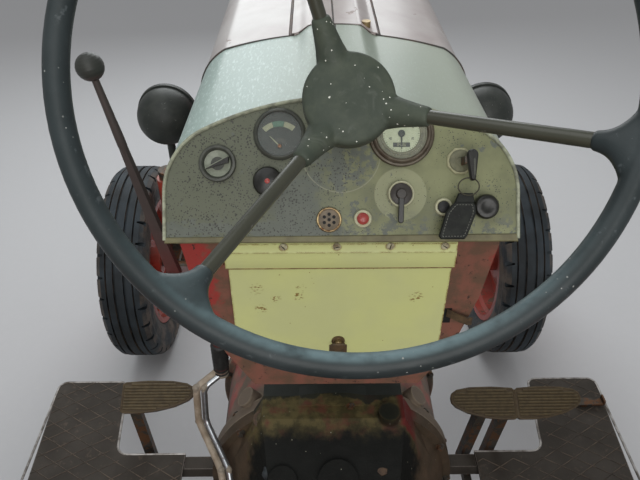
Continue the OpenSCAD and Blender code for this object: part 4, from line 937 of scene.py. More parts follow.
black_rubber = plain_finish("black_rubber", (0.014, 0.014, 0.014), (0.026, 0.027, 0.026), 0.5)
black_plastic = plain_finish("black_plastic", (0.009, 0.009, 0.008), (0.016, 0.016, 0.014), 0.32,
                             Coat_Weight=0.05)
bezel_brown = plain_finish("bezel_brown", (0.055, 0.042, 0.028), (0.095, 0.080, 0.056), 0.36, 0.012,
                           Metallic=0.2)
bezel_grey = plain_finish("bezel_grey", (0.040, 0.043, 0.036), (0.062, 0.066, 0.053), 0.4, 0.01,
                          Coat_Weight=0.05)
dial_black = plain_finish("dial_black", (0.028, 0.034, 0.028), (0.040, 0.046, 0.039), 0.5)
dial_white = plain_finish("dial_white", (0.34, 0.38, 0.25), (0.40, 0.44, 0.30), 0.45)
mark_cream = plain_finish("mark_cream", (0.21, 0.225, 0.14), (0.26, 0.27, 0.175), 0.5)
mark_green = plain_finish("mark_green", (0.06, 0.125, 0.085), (0.075, 0.15, 0.10), 0.5)
red_lens = plain_finish("red_lens", (0.26, 0.042, 0.036), (0.34, 0.055, 0.046), 0.35, Coat_Weight=0.2)
wire_dark = plain_finish("wire_dark", (0.030, 0.028, 0.018), (0.055, 0.050, 0.032), 0.4, 0.003)
face_grey = plain_finish("face_grey", (0.20, 0.22, 0.17), (0.15, 0.165, 0.125), 0.4)
dish_brown = plain_finish("dish_brown", (0.15, 0.115, 0.075), (0.10, 0.08, 0.055), 0.45)
dish_olive = plain_finish("dish_olive", (0.14, 0.14, 0.085), (0.095, 0.095, 0.06), 0.4)
dial_umber = plain_finish("dial_umber", (0.030, 0.026, 0.023), (0.042, 0.037, 0.032), 0.4)
ring_cream = plain_finish("ring_cream", (0.44, 0.44, 0.31), (0.34, 0.33, 0.21), 0.35)
nut_olive = plain_finish("nut_olive", (0.34, 0.33, 0.20), (0.22, 0.215, 0.13), 0.4)
# Painted shade: a near-black finish that stands for the shade inside holes and slots.
hollow_shade = plain_finish("hollow_shade", (0.006, 0.006, 0.006), (0.010, 0.010, 0.009), 0.7)
thread_pale = plain_finish("thread_pale", (0.075, 0.078, 0.068), (0.14, 0.145, 0.125), 0.7, 0.002)
lamp_glass = plain_finish("lamp_glass", (0.62, 0.66, 0.66), (0.70, 0.74, 0.74), 0.12, 0.02, Coat_Weight=1.0)
tail_glass = plain_finish("tail_glass", (0.38, 0.012, 0.01), (0.30, 0.01, 0.01), 0.18, 0.02, Coat_Weight=0.8)
clear_glass = Finish("clear_glass", Alpha=0.03, Roughness=0.08).done((0.75, 0.80, 0.78))
screw_cream = plain_finish("screw_cream", (0.42, 0.40, 0.27), (0.16, 0.12, 0.07), 0.45)
edge_cream = plain_finish("edge_cream", (0.30, 0.32, 0.23), (0.13, 0.135, 0.10), 0.4, 0.01)
hinge_dark = plain_finish("hinge_dark", (0.055, 0.040, 0.036), (0.12, 0.075, 0.06), 0.6, 0.02)
seam_dark = plain_finish("seam_dark", (0.035, 0.036, 0.032), (0.07, 0.05, 0.04), 0.6, 0.02)
lip_olive = plain_finish("lip_olive", (0.135, 0.125, 0.062), (0.095, 0.085, 0.047), 0.5, 0.02)
strap_brown = plain_finish("strap_brown", (0.085, 0.055, 0.028), (0.045, 0.032, 0.02), 0.55, 0.008)
tube_tan = plain_finish("tube_tan", (0.32, 0.27, 0.21), (0.20, 0.155, 0.11), 0.5, 0.02)
pad_rib = plain_finish("pad_rib", (0.090, 0.068, 0.034), (0.058, 0.042, 0.022), 0.5, 0.01)
rib_worn = plain_finish("rib_worn", (0.115, 0.088, 0.066), (0.034, 0.028, 0.022), 0.6, 0.02)
rust_line = plain_finish("rust_line", (0.12, 0.070, 0.022), (0.26, 0.20, 0.075), 0.6, 0.008)
case_ochre = plain_finish("case_ochre", (0.075, 0.060, 0.028), (0.040, 0.032, 0.017), 0.5, 0.008)
case_brown = plain_finish("case_brown", (0.085, 0.052, 0.030), (0.045, 0.028, 0.018), 0.5)
putty_pale = plain_finish("putty_pale", (0.36, 0.37, 0.26), (0.22, 0.23, 0.16), 0.6, 0.004)
grease_blue = plain_finish("grease_blue", (0.034, 0.042, 0.046), (0.016, 0.019, 0.021), 0.6)
cap_olive = plain_finish("cap_olive", (0.105, 0.105, 0.075), (0.075, 0.075, 0.055), 0.5, 0.03)
edge_worn = plain_finish("edge_worn", (0.42, 0.40, 0.38), (0.10, 0.085, 0.07), 0.35, 0.03, Metallic=0.4)
print(len(bpy.data.materials), "materials, with those of the frame")

# %% [markdown]
# ## Dressing the solids
# A CAD node whose shape is right keeps its mesh and only changes its material slots. One
# table says which finish each node wears, so a reader sees the whole tractor at a glance.

# %% Which finish each solid wears
DRESS = {
    "gearbox": bell_cast, "clutch_housing": clutch_cast, "axle_housing": cast_dark, "engine": cast_red,
    "cylinder_head": cast_dark, "manifold": exhaust_rust, "injection_pump": alloy,
    "generator": black_enamel, "fan": dark_steel, "radiator": radiator_black,
    "front_support": cast_red, "front_axle": red_paint, "bonnet_band": bonnet_paint_and_reflection,
    "bonnet_left": bonnet_paint_and_reflection, "bonnet_right": bonnet_paint_and_reflection, "grille": red_paint,
    "cowl": cowl_paint, "dash_panel": dash_paint, "toolbox": support_paint, "toolbox_lid": lid_paint,
    "steering_box": cast_dark, "headlamps": lamp_shell, "fuel_tank": support_paint,
    "exhaust": exhaust_rust, "knuckle_left": dark_steel, "knuckle_right": dark_steel,
    "track_rod": dark_steel, "drop_arm": dark_steel, "drag_link": dark_steel,
    "front_wheel_left": rim_paint, "front_wheel_right": rim_paint, "front_tyre_left": tyre_rubber,
    "front_tyre_right": tyre_rubber, "rear_wheel_left": rim_paint, "rear_wheel_right": rim_paint,
    "rear_tyre_left": tyre_rubber, "rear_tyre_right": tyre_rubber, "fenders": red_paint,
    "foot_plates": tread_plate, "pedals": dark_steel, "levers": lever_paint, "seat": seat_paint,
    "seat_spring": dark_steel, "tow_hitch": cast_dark, "pto_shaft": steel, "tail_lamps": black_enamel,
}
for node, finish in DRESS.items():
    for slot in frame["nodes"][node].material_slots:
        slot.material = finish
print(len(DRESS), "nodes dressed, left for pieces:", sorted(set(frame["nodes"]) - set(DRESS)))

# %% [markdown]
# ## The steering wheel
# The wheel's coat is moulded over the steel, so each spoke enters the rim through a trumpet
# with a soft root, and leaves the boss through a shorter one. Separate rods stuck into a ring
# would show a hard line there. Here a ring and its trumpets are lofted apart, then a voxel
# remesh fuses them into one skin and a few smoothing steps round the roots.

# %% Fused skin
def fused(piece, voxel, steps, body, finish):
    """Melts the closed lofts of a Piece into one skin."""
    raw = bpy.data.objects.new(piece.name + "_raw", piece.merged())
    bpy.context.scene.collection.objects.link(raw)
    remesh = raw.modifiers.new("fuse", "REMESH")
    remesh.mode, remesh.voxel_size = "VOXEL", voxel * MM
    soft = raw.modifiers.new("soften", "SMOOTH")
    soft.factor, soft.iterations = 0.5, steps
    skin = bpy.data.meshes.new_from_object(raw.evaluated_get(bpy.context.evaluated_depsgraph_get()))
    bpy.data.objects.remove(raw)
    skin.materials.clear()
    skin.materials.append(finish)
    return settle(piece.name, skin, body, 60)


print("fusing tool ready")

# %% [markdown]
# The boss is dished below the rim, so a spoke climbs as it goes outwards. Each one gets a
# local frame whose z axis runs along it, and both trumpets and the rod are drawn in that.

# %% Frame of a spoke
SPOKES = (-16, 111, 232.5)
RIM_R, RIM_TUBE = 210, 9.5
DISH = 101
SPOKE_NEAR, SPOKE_FAR = (30, -DISH - 14), (206, -2)


def along_spoke(angle):
    """Frame on a spoke and its length: x stays in the plane of the rim."""
    turn = math.radians(angle)
    out = Vector((math.cos(turn), math.sin(turn), 0))
    a = out * SPOKE_NEAR[0] + Vector((0, 0, SPOKE_NEAR[1]))
    b = out * SPOKE_FAR[0] + Vector((0, 0, SPOKE_FAR[1]))
    z = (b - a).normalized()
    x = Vector((-out.y, out.x, 0))
    return WHEEL @ Matrix.Translation(a) @ Matrix((x, z.cross(x), z)).transposed().to_4x4(), (b - a).length


# %% Rim, trumpets and boss
rim = Piece("wheel_rim")
rim.turned(WHEEL, [(RIM_R + RIM_TUBE * math.cos(t), RIM_TUBE * math.sin(t)) for t in circle(20)],
           wheel_coat, 120, closed=True)
boss = Piece("wheel_boss")
boss.turned(WHEEL, [(0, -DISH - 26), (38, -DISH - 26), (41, -DISH - 23), (41, -DISH - 3),
                    (39.8, -DISH - 0.4), (37.5, -DISH + 1.0), (30, -DISH + 3.2), (18, -DISH + 4.8),
                    (0, -DISH + 5.4)], boss_coat, 72)
boss.turned(WHEEL, [(0, -165), (26, -165), (26, -120), (0, -120)], boss_coat, 48)
FLARE = [(31, 5), (30, 7.4), (24, 8.4), (19, 10.4), (14.5, 14), (10, 19.5), (6, 26.5), (2, 35)]
SLEEVE = [(0, -24), (15, -24), (16.5, 6), (14.6, 12), (12.2, 22), (10.2, 34), (8.8, 44), (8.0, 47),
          (5, 48), (0, 48)]
spokes = Piece("wheel_spokes")
for angle in SPOKES:
    place, length = along_spoke(angle)
    rim.loft([[place @ Vector((wide * math.cos(t), min(wide, 9.4 - 0.02 * (wide - 8)) * math.sin(t),
                               length - back)) for t in circle(28)] for back, wide in FLARE], wheel_coat)
    boss.turned(place, SLEEVE, boss_coat, 28)
    spokes.turned(place, [(0, 20), (6.1, 20), (6.1, length - 20), (0, length - 20)], spoke_paint, 24)
spokes.turned(WHEEL, [(0, -270), (9, -270), (9, -150), (0, -150)], dark_steel, 24)
rim_piece = fused(rim, 1.7, 6, "steering_wheel", wheel_coat)
fused(boss, 1.3, 5, "steering_wheel", boss_coat)
spokes.done("steering_wheel", "wheel_black")
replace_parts(rim_piece, "steering_wheel")

# %% [markdown]
# ## The instruments
# Ten controls sit on the dash, most of them lathe work: a bezel that steps down, a face that
# lies inside it, and hands and marks on the face. Profiles are read like a lathe drawing, as
# radius and height in millimetres. One table gives every control its place on the dash.

# %% Where each control sits
DIALS = {
    "light_switch": (-140, -37.3), "temperature": (-69.7, -4.5), "glow_knob": (-83, -58.5),
    "glow_monitor": (-14.2, -101.7), "red_lamp": (24, -100.7), "start_switch": (67.2, -73.2),
    "hour_meter": (68.2, -4.8), "key_switch": (135, -36), "horn_button": (115.8, -88),
    "choke_knob": (162.3, -88.2)}


def dial(name):
    """Frame of a control, z towards the driver, y up the dash."""
    return shifted(DASH, *DIALS[name])


def band(piece, place, inner, outer, start, end, low, high, finish, steps=10):
    """Flat curved band, angles in degrees."""
    outline = arc(0, 0, outer, start, end, steps) + arc(0, 0, inner, end, start, steps)
    return piece.plate(place, outline, low, high, finish)


print(len(DIALS), "controls")

# %% [markdown]
# The light switch has a bar across its face to turn it by, so one loft narrows that bar
# towards its top. The temperature gauge has its pivot below the middle. Its coloured bands
# are arcs about the pivot, and its needle is drawn upright and then turned to its reading.

# %% Light switch and water temperature gauge
dials = Piece("dash_dials")
here = dial("light_switch")
dials.turned(here, [(15, 0), (21, 0), (21, 4.2), (20, 5.4), (17.6, 5.6), (16.4, 4.6), (15, 2.4)],
             bezel_grey, 48, True)
dials.turned(here, [(0, 0.6), (15.6, 0.6), (15.6, 2.2), (13.5, 1.4), (0, 1.1)], face_grey, 48)
dials.turned(here, [(0, 1.0), (7.6, 1.0), (7.6, 1.8), (0, 1.8)], bezel_grey, 32)
blade = spun(here, 28)
dials.loft([[blade @ Vector((x, y, z))
             for x, y in ((-half, 0.2), (half * 0.8, -5.6), (half, -1.2), (half, 0.6), (-half, 0.6))]
            for z, half in ((1, 14.6), (7.0, 14.4), (7.6, 13.9))], black_plastic)
dials.block(blade, (-14.6, 14.2), (0.4, 1.3), (1, 7.9), face_grey, 0.2)
here = dial("temperature")
dials.turned(here, [(24.6, 0), (29.5, 0), (29.5, 3.4), (28.2, 5.8), (26.6, 6.8), (25.4, 6.2), (24.6, 3.4)],
             bezel_grey, 56, True)
dials.turned(here, [(0, 0.5), (25.2, 0.5), (25.2, 2.4), (0, 2.4)], dial_black, 48)
pivot = shifted(here, 0, -13.5)
for start, end, finish in ((134, 108, mark_cream), (107, 79, mark_green), (78, 50, mark_cream)):
    band(dials, pivot, 22.0, 28.0, start, end, 2.4, 2.75, finish)
needle = ((-0.35, 15.5), (-0.95, -2.5), (0.95, -2.5), (0.35, 15.5))
dials.prism(spun(pivot, 45), needle, (3.2, 3.9), mark_cream)
dials.turned(pivot, [(0, 2.2), (2.6, 2.2), (2.2, 4.6), (0, 5.0)], brass, 16)
band(dials, pivot, 5.0, 9.5, 150, 30, 2.4, 2.6, bezel_grey, 8)
glass = Piece("dash_glass")
glass.turned(here, [(0, 5.3), (25.2, 4.6), (25.2, 4.9), (0, 5.7)], clear_glass, 40)

# %% [markdown]
# The glow monitor is a small sieve over a wire that glows, so seven holes lie in its dish, six of
# them at even angles round the seventh. Each hole is a dark disc of painted shade. The start switch
# has a lever with a round end, which is one plate whose outline is an arc and two straight sides.

# %% Glow knob, glow monitor, lamp and start switch
here = dial("glow_knob")
dials.turned(here, [(0, 0), (12, 0), (12, 2), (15.6, 2.6), (17, 5), (16.7, 10), (15, 13), (11, 14.6),
                    (0, 15.2)], black_plastic, 40)
dials.turned(here, [(0, 14), (2.9, 14), (2.9, 15.8), (1.6, 16.5), (0, 16.6)], red_lens, 20)
here = dial("glow_monitor")
dials.turned(here, [(11.4, 0), (14.4, 0), (14.4, 2.6), (13.6, 3.7), (12.4, 3.7), (11.4, 2.6)],
             brass, 40, True)
dials.turned(here, [(0, 0.4), (11.8, 0.4), (11.8, 3.0), (8.5, 2.0), (0, 1.7)], dish_brown, 36)
for k in range(7):
    turn = math.radians(60 * k)
    hole = (0, 0) if k == 6 else (6.3 * math.sin(turn), 6.3 * math.cos(turn))
    dials.turned(shifted(here, *hole), [(0, 1.0), (1.95, 1.0), (1.95, 2.3), (0, 2.3)], hollow_shade, 14)
here = dial("red_lamp")
dials.turned(here, [(6.4, 0), (10.5, 0), (10.5, 2.0), (9.6, 4.4), (8.0, 5.0), (6.8, 4.2)],
             ring_cream, 36, True)
dials.turned(here, [(0, 0.6), (7.2, 0.6), (7.2, 3.8), (6.0, 5.6), (3.5, 6.7), (0, 7.1)], red_lens, 28)
here = dial("start_switch")
dials.turned(here, [(11.4, 0), (15, 0), (15, 5.6), (14.4, 7.6), (13.4, 8.0), (12.4, 6.6)],
             ring_cream, 44, True)
dials.turned(here, [(0, 0.6), (12.7, 0.6), (12.7, 6.6), (11.5, 7.3), (0, 7.6)], dial_umber, 36)
lever = spun(here, -2)
outline = [(-3.0, 3.5)] + arc(0, -30, 3.1, 180, 360, 12) + [(3.0, 3.5)]
dials.plate(lever, outline, 8.2, 11.4, black_plastic, 0.7)
dials.turned(lever, [(0, 7.2), (6.4, 7.2), (6.0, 10.8), (5.0, 11.8), (0, 12.0)], dial_umber, 24)

# %% [markdown]
# The hour meter carries plain numbers only. A short table of strokes on a grid of two by
# three points draws each digit, and every stroke is a thin flat bar. That keeps the numbers
# part of the mesh, without a font.

# %% Hour meter with plain numbers
STROKES = {"0": "abcdef", "1": "bc", "2": "abged", "3": "abgcd", "4": "fgbc", "5": "afgcd",
           "6": "afgedc", "7": "abc", "8": "abcdefg", "9": "abcdfg"}
ENDS = {"a": ((0, 2), (1, 2)), "b": ((1, 1), (1, 2)), "c": ((1, 0), (1, 1)), "d": ((0, 0), (1, 0)),
        "e": ((0, 0), (0, 1)), "f": ((0, 1), (0, 2)), "g": ((0, 1), (1, 1))}
STROKE_SHARE = 0.16


def digits(piece, place, text, x, y, tall, z, finish):
    """Plain digits centred on a point of a dial."""
    half = tall / 2
    wide = half * 0.85
    step = wide + half * 0.55
    for n, mark in enumerate(text):
        left = x + (n - (len(text) - 1) / 2) * step - wide / 2
        for stroke in STROKES[mark]:
            (ax, ay), (bx, by) = ENDS[stroke]
            a = Vector((left + ax * wide, y - half + ay * half))
            b = Vector((left + bx * wide, y - half + by * half))
            side = Vector((a.y - b.y, b.x - a.x)).normalized() * tall * STROKE_SHARE / 2
            lead = (b - a).normalized() * tall * STROKE_SHARE / 2
            bar = [a - side - lead, b - side + lead, b + side + lead, a + side - lead]
            piece.plate(place, bar, z, z + 0.25, finish)


here = dial("hour_meter")
dials.turned(here, [(28.6, 0), (37.5, 0), (37.5, 3.2), (36.6, 5.0), (35.2, 5.6), (34.0, 5.4),
                    (33.4, 7.6), (31.8, 8.8), (30.2, 8.8), (28.8, 7.4)], bezel_brown, 64, True)
dials.turned(here, [(21.0, 0), (29.6, 0), (29.6, 5.8), (27.4, 5.2), (27.0, 4.0), (24.4, 3.8),
                    (24.0, 4.6), (21.8, 4.2), (21.0, 3.2)], dish_olive, 56, True)
dials.turned(here, [(0, 0.5), (21.6, 0.5), (21.6, 3.0), (0, 3.0)], dial_white, 56)
dials.block(shifted(here, 0, -12.6), (-9.6, 9.6), (-2.5, 2.5), (3.0, 3.3), dial_black)
digits(dials, here, "04286", 0, -12.6, 2.9, 3.3, mark_cream)
for k, mark in enumerate(("10", "20", "30", "40", "50", "60")):
    turn = math.radians(30 - 60 * k if k < 3 else 210 - 60 * (k - 3))
    digits(dials, here, mark, 14.6 * math.cos(turn), 13.0 * math.sin(turn) + 1.0, 2.3, 3.0, dial_black)
for k in range(48):
    inner = 18.6 if k % 4 == 0 else 19.4
    dials.block(spun(here, 7.5 * k), (inner, 20.6), (-0.2, 0.2), (3.0, 3.25), dial_black)
hand = ((-0.8, 2.5), (-1.0, -3), (-0.4, -17.5), (0.4, -17.5), (1.0, -3), (0.8, 2.5))
dials.prism(here, hand, (3.7, 4.3), dial_black)
dials.turned(here, [(0, 2.2), (4.0, 2.2), (4.0, 4.7), (3.0, 5.4), (0, 5.7)], dial_black, 24)
glass.turned(here, [(0, 7.2), (28.9, 6.2), (28.9, 6.6), (0, 7.7)], clear_glass, 48)

# %% [markdown]
# The last three are a nut with eight corners that holds the key switch, a rubber button in
# its ring, and a round knob on a stem. An arc with few steps is a polygon, so the helper
# that draws arcs draws the nut as well.

# %% Key switch, horn button and choke knob
here = dial("key_switch")
dials.plate(here, arc(0, 0, 15.9, 22.5, 337.5, 7), 0, 2.8, nut_olive, 0.9)
dials.turned(here, [(0, 0.5), (12.8, 0.5), (12.8, 3.4), (12.0, 4.2), (4.6, 3.6), (4.2, 3.0), (0, 3.0)],
             dish_olive, 36)
here = dial("horn_button")
dials.turned(here, [(6.9, 0), (10.3, 0), (10.3, 2.2), (9.4, 4.2), (8.0, 4.6), (6.9, 3.4)],
             ring_cream, 36, True)
dials.turned(here, [(0, 0.6), (7.4, 0.6), (7.4, 3.0), (6.2, 4.9), (3.2, 5.9), (0, 6.1)], black_rubber, 28)
here = dial("choke_knob")
dials.turned(here, [(0, 0), (5, 0), (5, 4), (11.5, 5), (14, 8), (13.8, 12.6), (12.2, 15.2), (9.4, 16.2),
                    (6, 15.4), (0, 14.4)], black_plastic, 40)
dial_piece = dials.done("chassis", "gauge")
glass.done("chassis", "gauge")
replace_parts(dial_piece, "instruments")

# %% [markdown]
# The key hangs in the dash switch with its head of black plastic. A wire ring carries a
# stitched leather fob, which lies on the dash. Geometry Nodes sew it: short bars stand at
# even steps along the seam line, so the stitch length is a size of the tree.

# %% Stitches along a seam
def stitch_tree():
    tree = Pattern("stitches", step="Float", long="Float", thread="Float")
    line = tree.add("GeometryNodeMeshToCurve", {"Mesh": tree.given("carrier")})
    spots = tree.add("GeometryNodeResampleCurve", {
        "Curve": line, "Length": tree.given("step")}, mode="LENGTH")
    bar = tree.add("GeometryNodeMeshCube", {"Size": tree.add("ShaderNodeCombineXYZ", {
        "X": tree.given("thread"), "Y": tree.given("thread"), "Z": tree.given("long")}),
        "Vertices X": 2, "Vertices Y": 2, "Vertices Z": 2})
    turn = tree.add("FunctionNodeAlignRotationToVector", {
        "Vector": tree.add("GeometryNodeInputTangent")}, axis="Z")
    return tree.close(tree.add("GeometryNodeInstanceOnPoints", {
        "Points": spots, "Instance": bar, "Rotation": turn}))


STITCHES = stitch_tree()
print("tree", STITCHES.group.name)

# %% Key with its fob
FOB = [(125.5, -83), (144, -83), (147.5, -87), (148, -96), (138, -121), (135, -124.5), (109, -124.5),
       (106.5, -121), (114.5, -95), (120.5, -87)]
COLLAR = [(129, -73.5), (144.5, -73.5), (146.5, -84), (124.5, -84)]
fob = Piece("key_fob")
fob.stack(DASH, FOB, ((1.2, 16.2), (0.2, 17.0), (0.0, 19.0), (0.2, 21.0), (1.2, 21.9)), fob_leather)
fob.plate(DASH, COLLAR, 16.4, 21.2, fob_leather, 0.8)
head = arc(0, 9.5, 6.3, 0, 180, 8) + arc(0.3, -16, 3.2, 200, 340, 5)
bow = shifted(DASH, 143.5, -41)
fob.stack(bow, head, ((1.4, 18.4), (0.0, 20.0), (0.0, 24.4), (1.6, 26.2)), black_plastic)
groove = ((0.4, 4), (1.6, 6), (2.8, 4), (2.5, -12), (1.6, -14), (0.7, -12))
fob.prism(bow, groove, (25.6, 26.7), bezel_grey)
fob.block(shifted(DASH, 137, -37), (-1.4, 1.4), (-4.2, 4.2), (3.5, 22), dark_steel, 0.3)
fob_piece = fob.done("chassis", "leather", 30)
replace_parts(fob_piece, "key_fob")
ring = [DASH @ Vector((139.5 + 11.6 * math.cos(t), -66.5 + 9.6 * math.sin(t), 22.4 + 1.2 * math.sin(t)))
        for t in circle(36)]
BEAD.grow("key_ring", paths(ring, closed=True), wire_dark, "chassis", "leather", radius=0.0008, sides=8)
seam = [DASH @ Vector((*point, 21.9)) for point in inset(FOB, 3.4)]
STITCHES.grow("fob_stitches", paths(seam, closed=True), thread_pale, "chassis", "leather",
              step=0.0034, long=0.0021, thread=0.0008)


# %% [markdown]
# ## Cowl and bonnet
# The hood is one section swept forward: straight sides, round shoulders, a flat crown and a
# centre band that rises out of it in a soft S. The CAD solid draws that section with few
# points, which shows as facets in a mirror-like paint. Here the same section gets many
# points, so the sheet is smooth, and each wing is a thin closed shell that rides on its body.

# %% One section for cowl, band and wings
HOOD = {"half": 200, "low": 1190, "shoulder": 1297, "radius": 79, "top": 1390}
DASH_ARCH = {"half": 202, "low": -124, "shoulder": -70, "radius": 79, "top": 38}
SEAM_Y, WING_FRONT, SHEET = 1111, 1941, 3
BAND_FOOT, BAND_FLAT, BAND_RISE = 58, 32, 13
SHOULDER_TURN = 62
ARC_STEPS = 16


def s_curve(share):
    """0 to 1 with soft ends."""
    return (1 - math.cos(math.pi * share)) / 2


def hood_section(half, low, shoulder, radius, top, rise=0.0, foot=None):
    """Points of the right half, from the lower edge to the middle or to a wing's inner edge."""
    turn = math.radians(SHOULDER_TURN)
    px, pz = half - radius + radius * math.cos(turn), shoulder + radius * math.sin(turn)
    bow = (px * px + (top - pz) ** 2) / (2 * (top - pz))
    lean, end = math.asin(px / bow), math.asin((foot or BAND_FOOT) / bow)
    points = [(half, low + (shoulder - low) * k / 4) for k in range(4)]
    points += arc(half - radius, shoulder, radius, 0, SHOULDER_TURN, ARC_STEPS)
    points += [(bow * math.sin(a), top - bow + bow * math.cos(a))
               for a in (lean + (end - lean) * k / ARC_STEPS for k in range(1, ARC_STEPS + 1))]
    if foot is None:
        for k in range(1, 9):
            x = BAND_FOOT + (BAND_FLAT - BAND_FOOT) * k / 8
            points.append((x, top - bow + math.sqrt(bow * bow - x * x) + rise * s_curve(k / 8)))
        points += [(x, top - bow + math.sqrt(bow * bow - x * x) + rise) for x in (20, 8, 0)]
    return points


def both_sides(**sizes):
    """The whole section, from the right lower edge over the crown to the left one."""
    points = hood_section(**sizes)
    return points + [(-x, z) for x, z in reversed(points[:-1])]


def shrunk(sizes, by):
    """The sizes of a section that lies inside another one."""
    return {**sizes, **{key: sizes[key] - by for key in ("half", "radius", "top")}}


print("crown section", len(both_sides(**HOOD)), "points")

# %% [markdown]
# The cowl runs from the leaning dash to the upright seam of the bonnet. A line drawn between
# the matching points of both ends makes the sheet between them, and the same line inside by
# the sheet's thickness closes it to a shell. Beads draw the rolled edge round the dash, the
# seam to the bonnet and the crease along the crown.

# %% Cowl sheet
COWL_STEPS = 12


def cowl_ends(inside):
    """Line at the dash and line at the seam, in metres."""
    back = [DASH @ Vector((x, y, -4)) for x, y in both_sides(**shrunk(DASH_ARCH, inside))]
    front = [at(x, SEAM_Y, z) for x, z in both_sides(**shrunk(HOOD, inside), rise=BAND_RISE)]
    return list(zip(back, front))


cowl = Piece("cowl_sheet")
shell = cowl_ends(0) + cowl_ends(SHEET)[::-1]
cowl.loft([[back.lerp(front, k / COWL_STEPS) for back, front in shell]
           for k in range(COWL_STEPS + 1)], cowl_paint)
cowl_piece = cowl.done("chassis", "cowl_grey", 40)
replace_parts(cowl_piece, "cowl")
edge_arch = {**DASH_ARCH, "half": 201, "top": 37}
arch_edge = [DASH @ Vector((x, y, 0.6)) for x, y in both_sides(**edge_arch)]
BEAD.grow("dash_edge", paths(arch_edge), edge_cream, "chassis", "cowl_grey", radius=0.0022, sides=10)
seam_arch = {**HOOD, "top": 1389}
seam_line = [at(x, SEAM_Y + 1.6, z) for x, z in both_sides(**seam_arch, rise=BAND_RISE)]
BEAD.grow("hood_seam", paths(seam_line), seam_dark, "chassis", "cowl_grey", radius=0.0021, sides=8)
ridge = cowl_ends(0)
back, front = ridge[len(ridge) // 2]
crease = [back.lerp(front, 0.02 + 0.98 * k / 12) + Vector((0, 0, 0.0002)) for k in range(13)]
BEAD.grow("cowl_crease", paths(crease), seam_dark, "chassis", "cowl_grey", radius=0.0010, sides=6)

# %% [markdown]
# Each bonnet wing is the same section, cut off at the hinge beside the centre band and
# carried on further down. Its hinge rod rides on it, so that the rod turns with the wing.
# The band's flanks are thin curved strips in three lengths, with two gaps between them.

# %% Bonnet wings
HINGE_X, HINGE_Z = 63, 1383
WING_FOOT, WING_LOW, WING_GAP, WING_STEPS = 66.4, 1060, 5, 8
WING = {**HOOD, "low": WING_LOW}
section = hood_section(**WING, foot=WING_FOOT) + hood_section(**shrunk(WING, SHEET), foot=WING_FOOT)[::-1]
for side, body in ((-1, "bonnet_left"), (1, "bonnet_right")):
    wing = Piece(body + "_sheet")
    wing.loft([[at(side * x, SEAM_Y + WING_GAP + (WING_FRONT - SEAM_Y - 2 * WING_GAP) * k / WING_STEPS, z)
                for x, z in section] for k in range(WING_STEPS + 1)], bonnet_paint_and_reflection)
    ends = [at(side * HINGE_X, y, HINGE_Z) for y in (SEAM_Y + WING_GAP, WING_FRONT - WING_GAP)]
    wing.rod(*ends, 4, hinge_dark, 16)
    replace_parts(wing.done(body, "red_paint", 40), body)


# %% Curved flanks of the centre band
flanks = Piece("band_flanks")
curve = [(61.2, 1390.4)] + [(BAND_FOOT - (BAND_FOOT - BAND_FLAT) * k / 10, 1391.0 + 12.6 * s_curve(k / 10))
                            for k in range(11)]
under = [(x, z - 1.2) for x, z in reversed(curve)]
for side in (-1, 1):
    for low_y, high_y in ((SEAM_Y + 1, 1370), (1470, 1653), (1727, WING_FRONT - 1)):
        flanks.loft([[at(side * x, y, z) for x, z in curve + under] for y in (low_y, high_y)], bonnet_paint_and_reflection)
flanks.rod(at(45, SEAM_Y + 15, 1394), at(45, SEAM_Y + 15, 1403), 6.5, brass, 20)
flanks.done("chassis", "red_paint", 50)
BEAD.grow("band_crease", paths([at(-2, SEAM_Y + 2, 1403.6), at(-2, 1370, 1403.6)]), seam_dark,
          "chassis", "red_paint", radius=0.0012, sides=6)


# %% [markdown]
# ## Toolbox under the dash
# The lid hangs from a folded strip with a raised bead and four screws. It is pale yellow
# paint over steel, rusty along its edges, with a notch for a thumb screw. Beside it a
# leather strap goes into a slot. Flat sheet parts like these are plates with a chamfer.

# %% Strip, lip, latch and strap
LID = frame_at(at(0, LID_Y, LID_Z), facing((0, -1, 0)))
FACE = frame_at(at(0, LID_Y + 8, LID_Z), facing((0, -1, 0)))
box = Piece("toolbox_trim")
profile = [(0.2, -1.5), (9.5, -1.5), (10.5, 0.5), (10.3, 18), (9.7, 20.5), (10.1, 23), (8.2, 26),
           (7.4, 34), (4.5, 36), (0.2, 36)]
box.loft([[FACE @ Vector((x, z, out)) for out, z in profile] for x in (-139, -137, 0, 137, 139)], lid_paint)
for x in (-68, -4.5, 59, 124):
    place = shifted(FACE, x, 30.5, 7.0)
    box.turned(place, [(0, 0), (5.0, 0), (5.0, 1.0), (4.2, 2.2), (2.0, 2.6), (0, 2.0)], screw_cream, 24)
    # The dark bar on each screw head is painted shade in its slot.
    box.block(spun(place, 20 + x), (-3.4, 3.4), (-0.5, 0.5), (2.2, 2.8), hollow_shade)
lip = [(-190, 0), (190, 0), (189, -4.5), (-189, -4.5)]
box.plate(frame_at(at(0, 790, 1267), facing((0, -1, 0.1))), lip, -4, 1.0, lip_olive, 0.8)
box.plate(DASH, [(-201, -120.8), (-201, -127.5), (201, -127.5), (201, -118.6)], -1.5, 2.0, lip_olive, 1.0)
box.plate(shifted(LID, 0, -155), [(-12, 0), (12, 0), (12, 17), (7, 19), (-7, 19), (-12, 17)],
          0.1, 1.4, strap_brown, 0.4)
latch = shifted(LID, 0, -130)
box.turned(latch, [(0, 0.2), (9, 0.2), (9, 1.0), (4.6, 1.6), (4.2, 6.5), (3.4, 7.4), (0, 7.6)], brass, 28)
box.block(latch, (-8.5, 8.5), (-2.0, 2.0), (6.0, 9.5), strap_brown, 0.6)
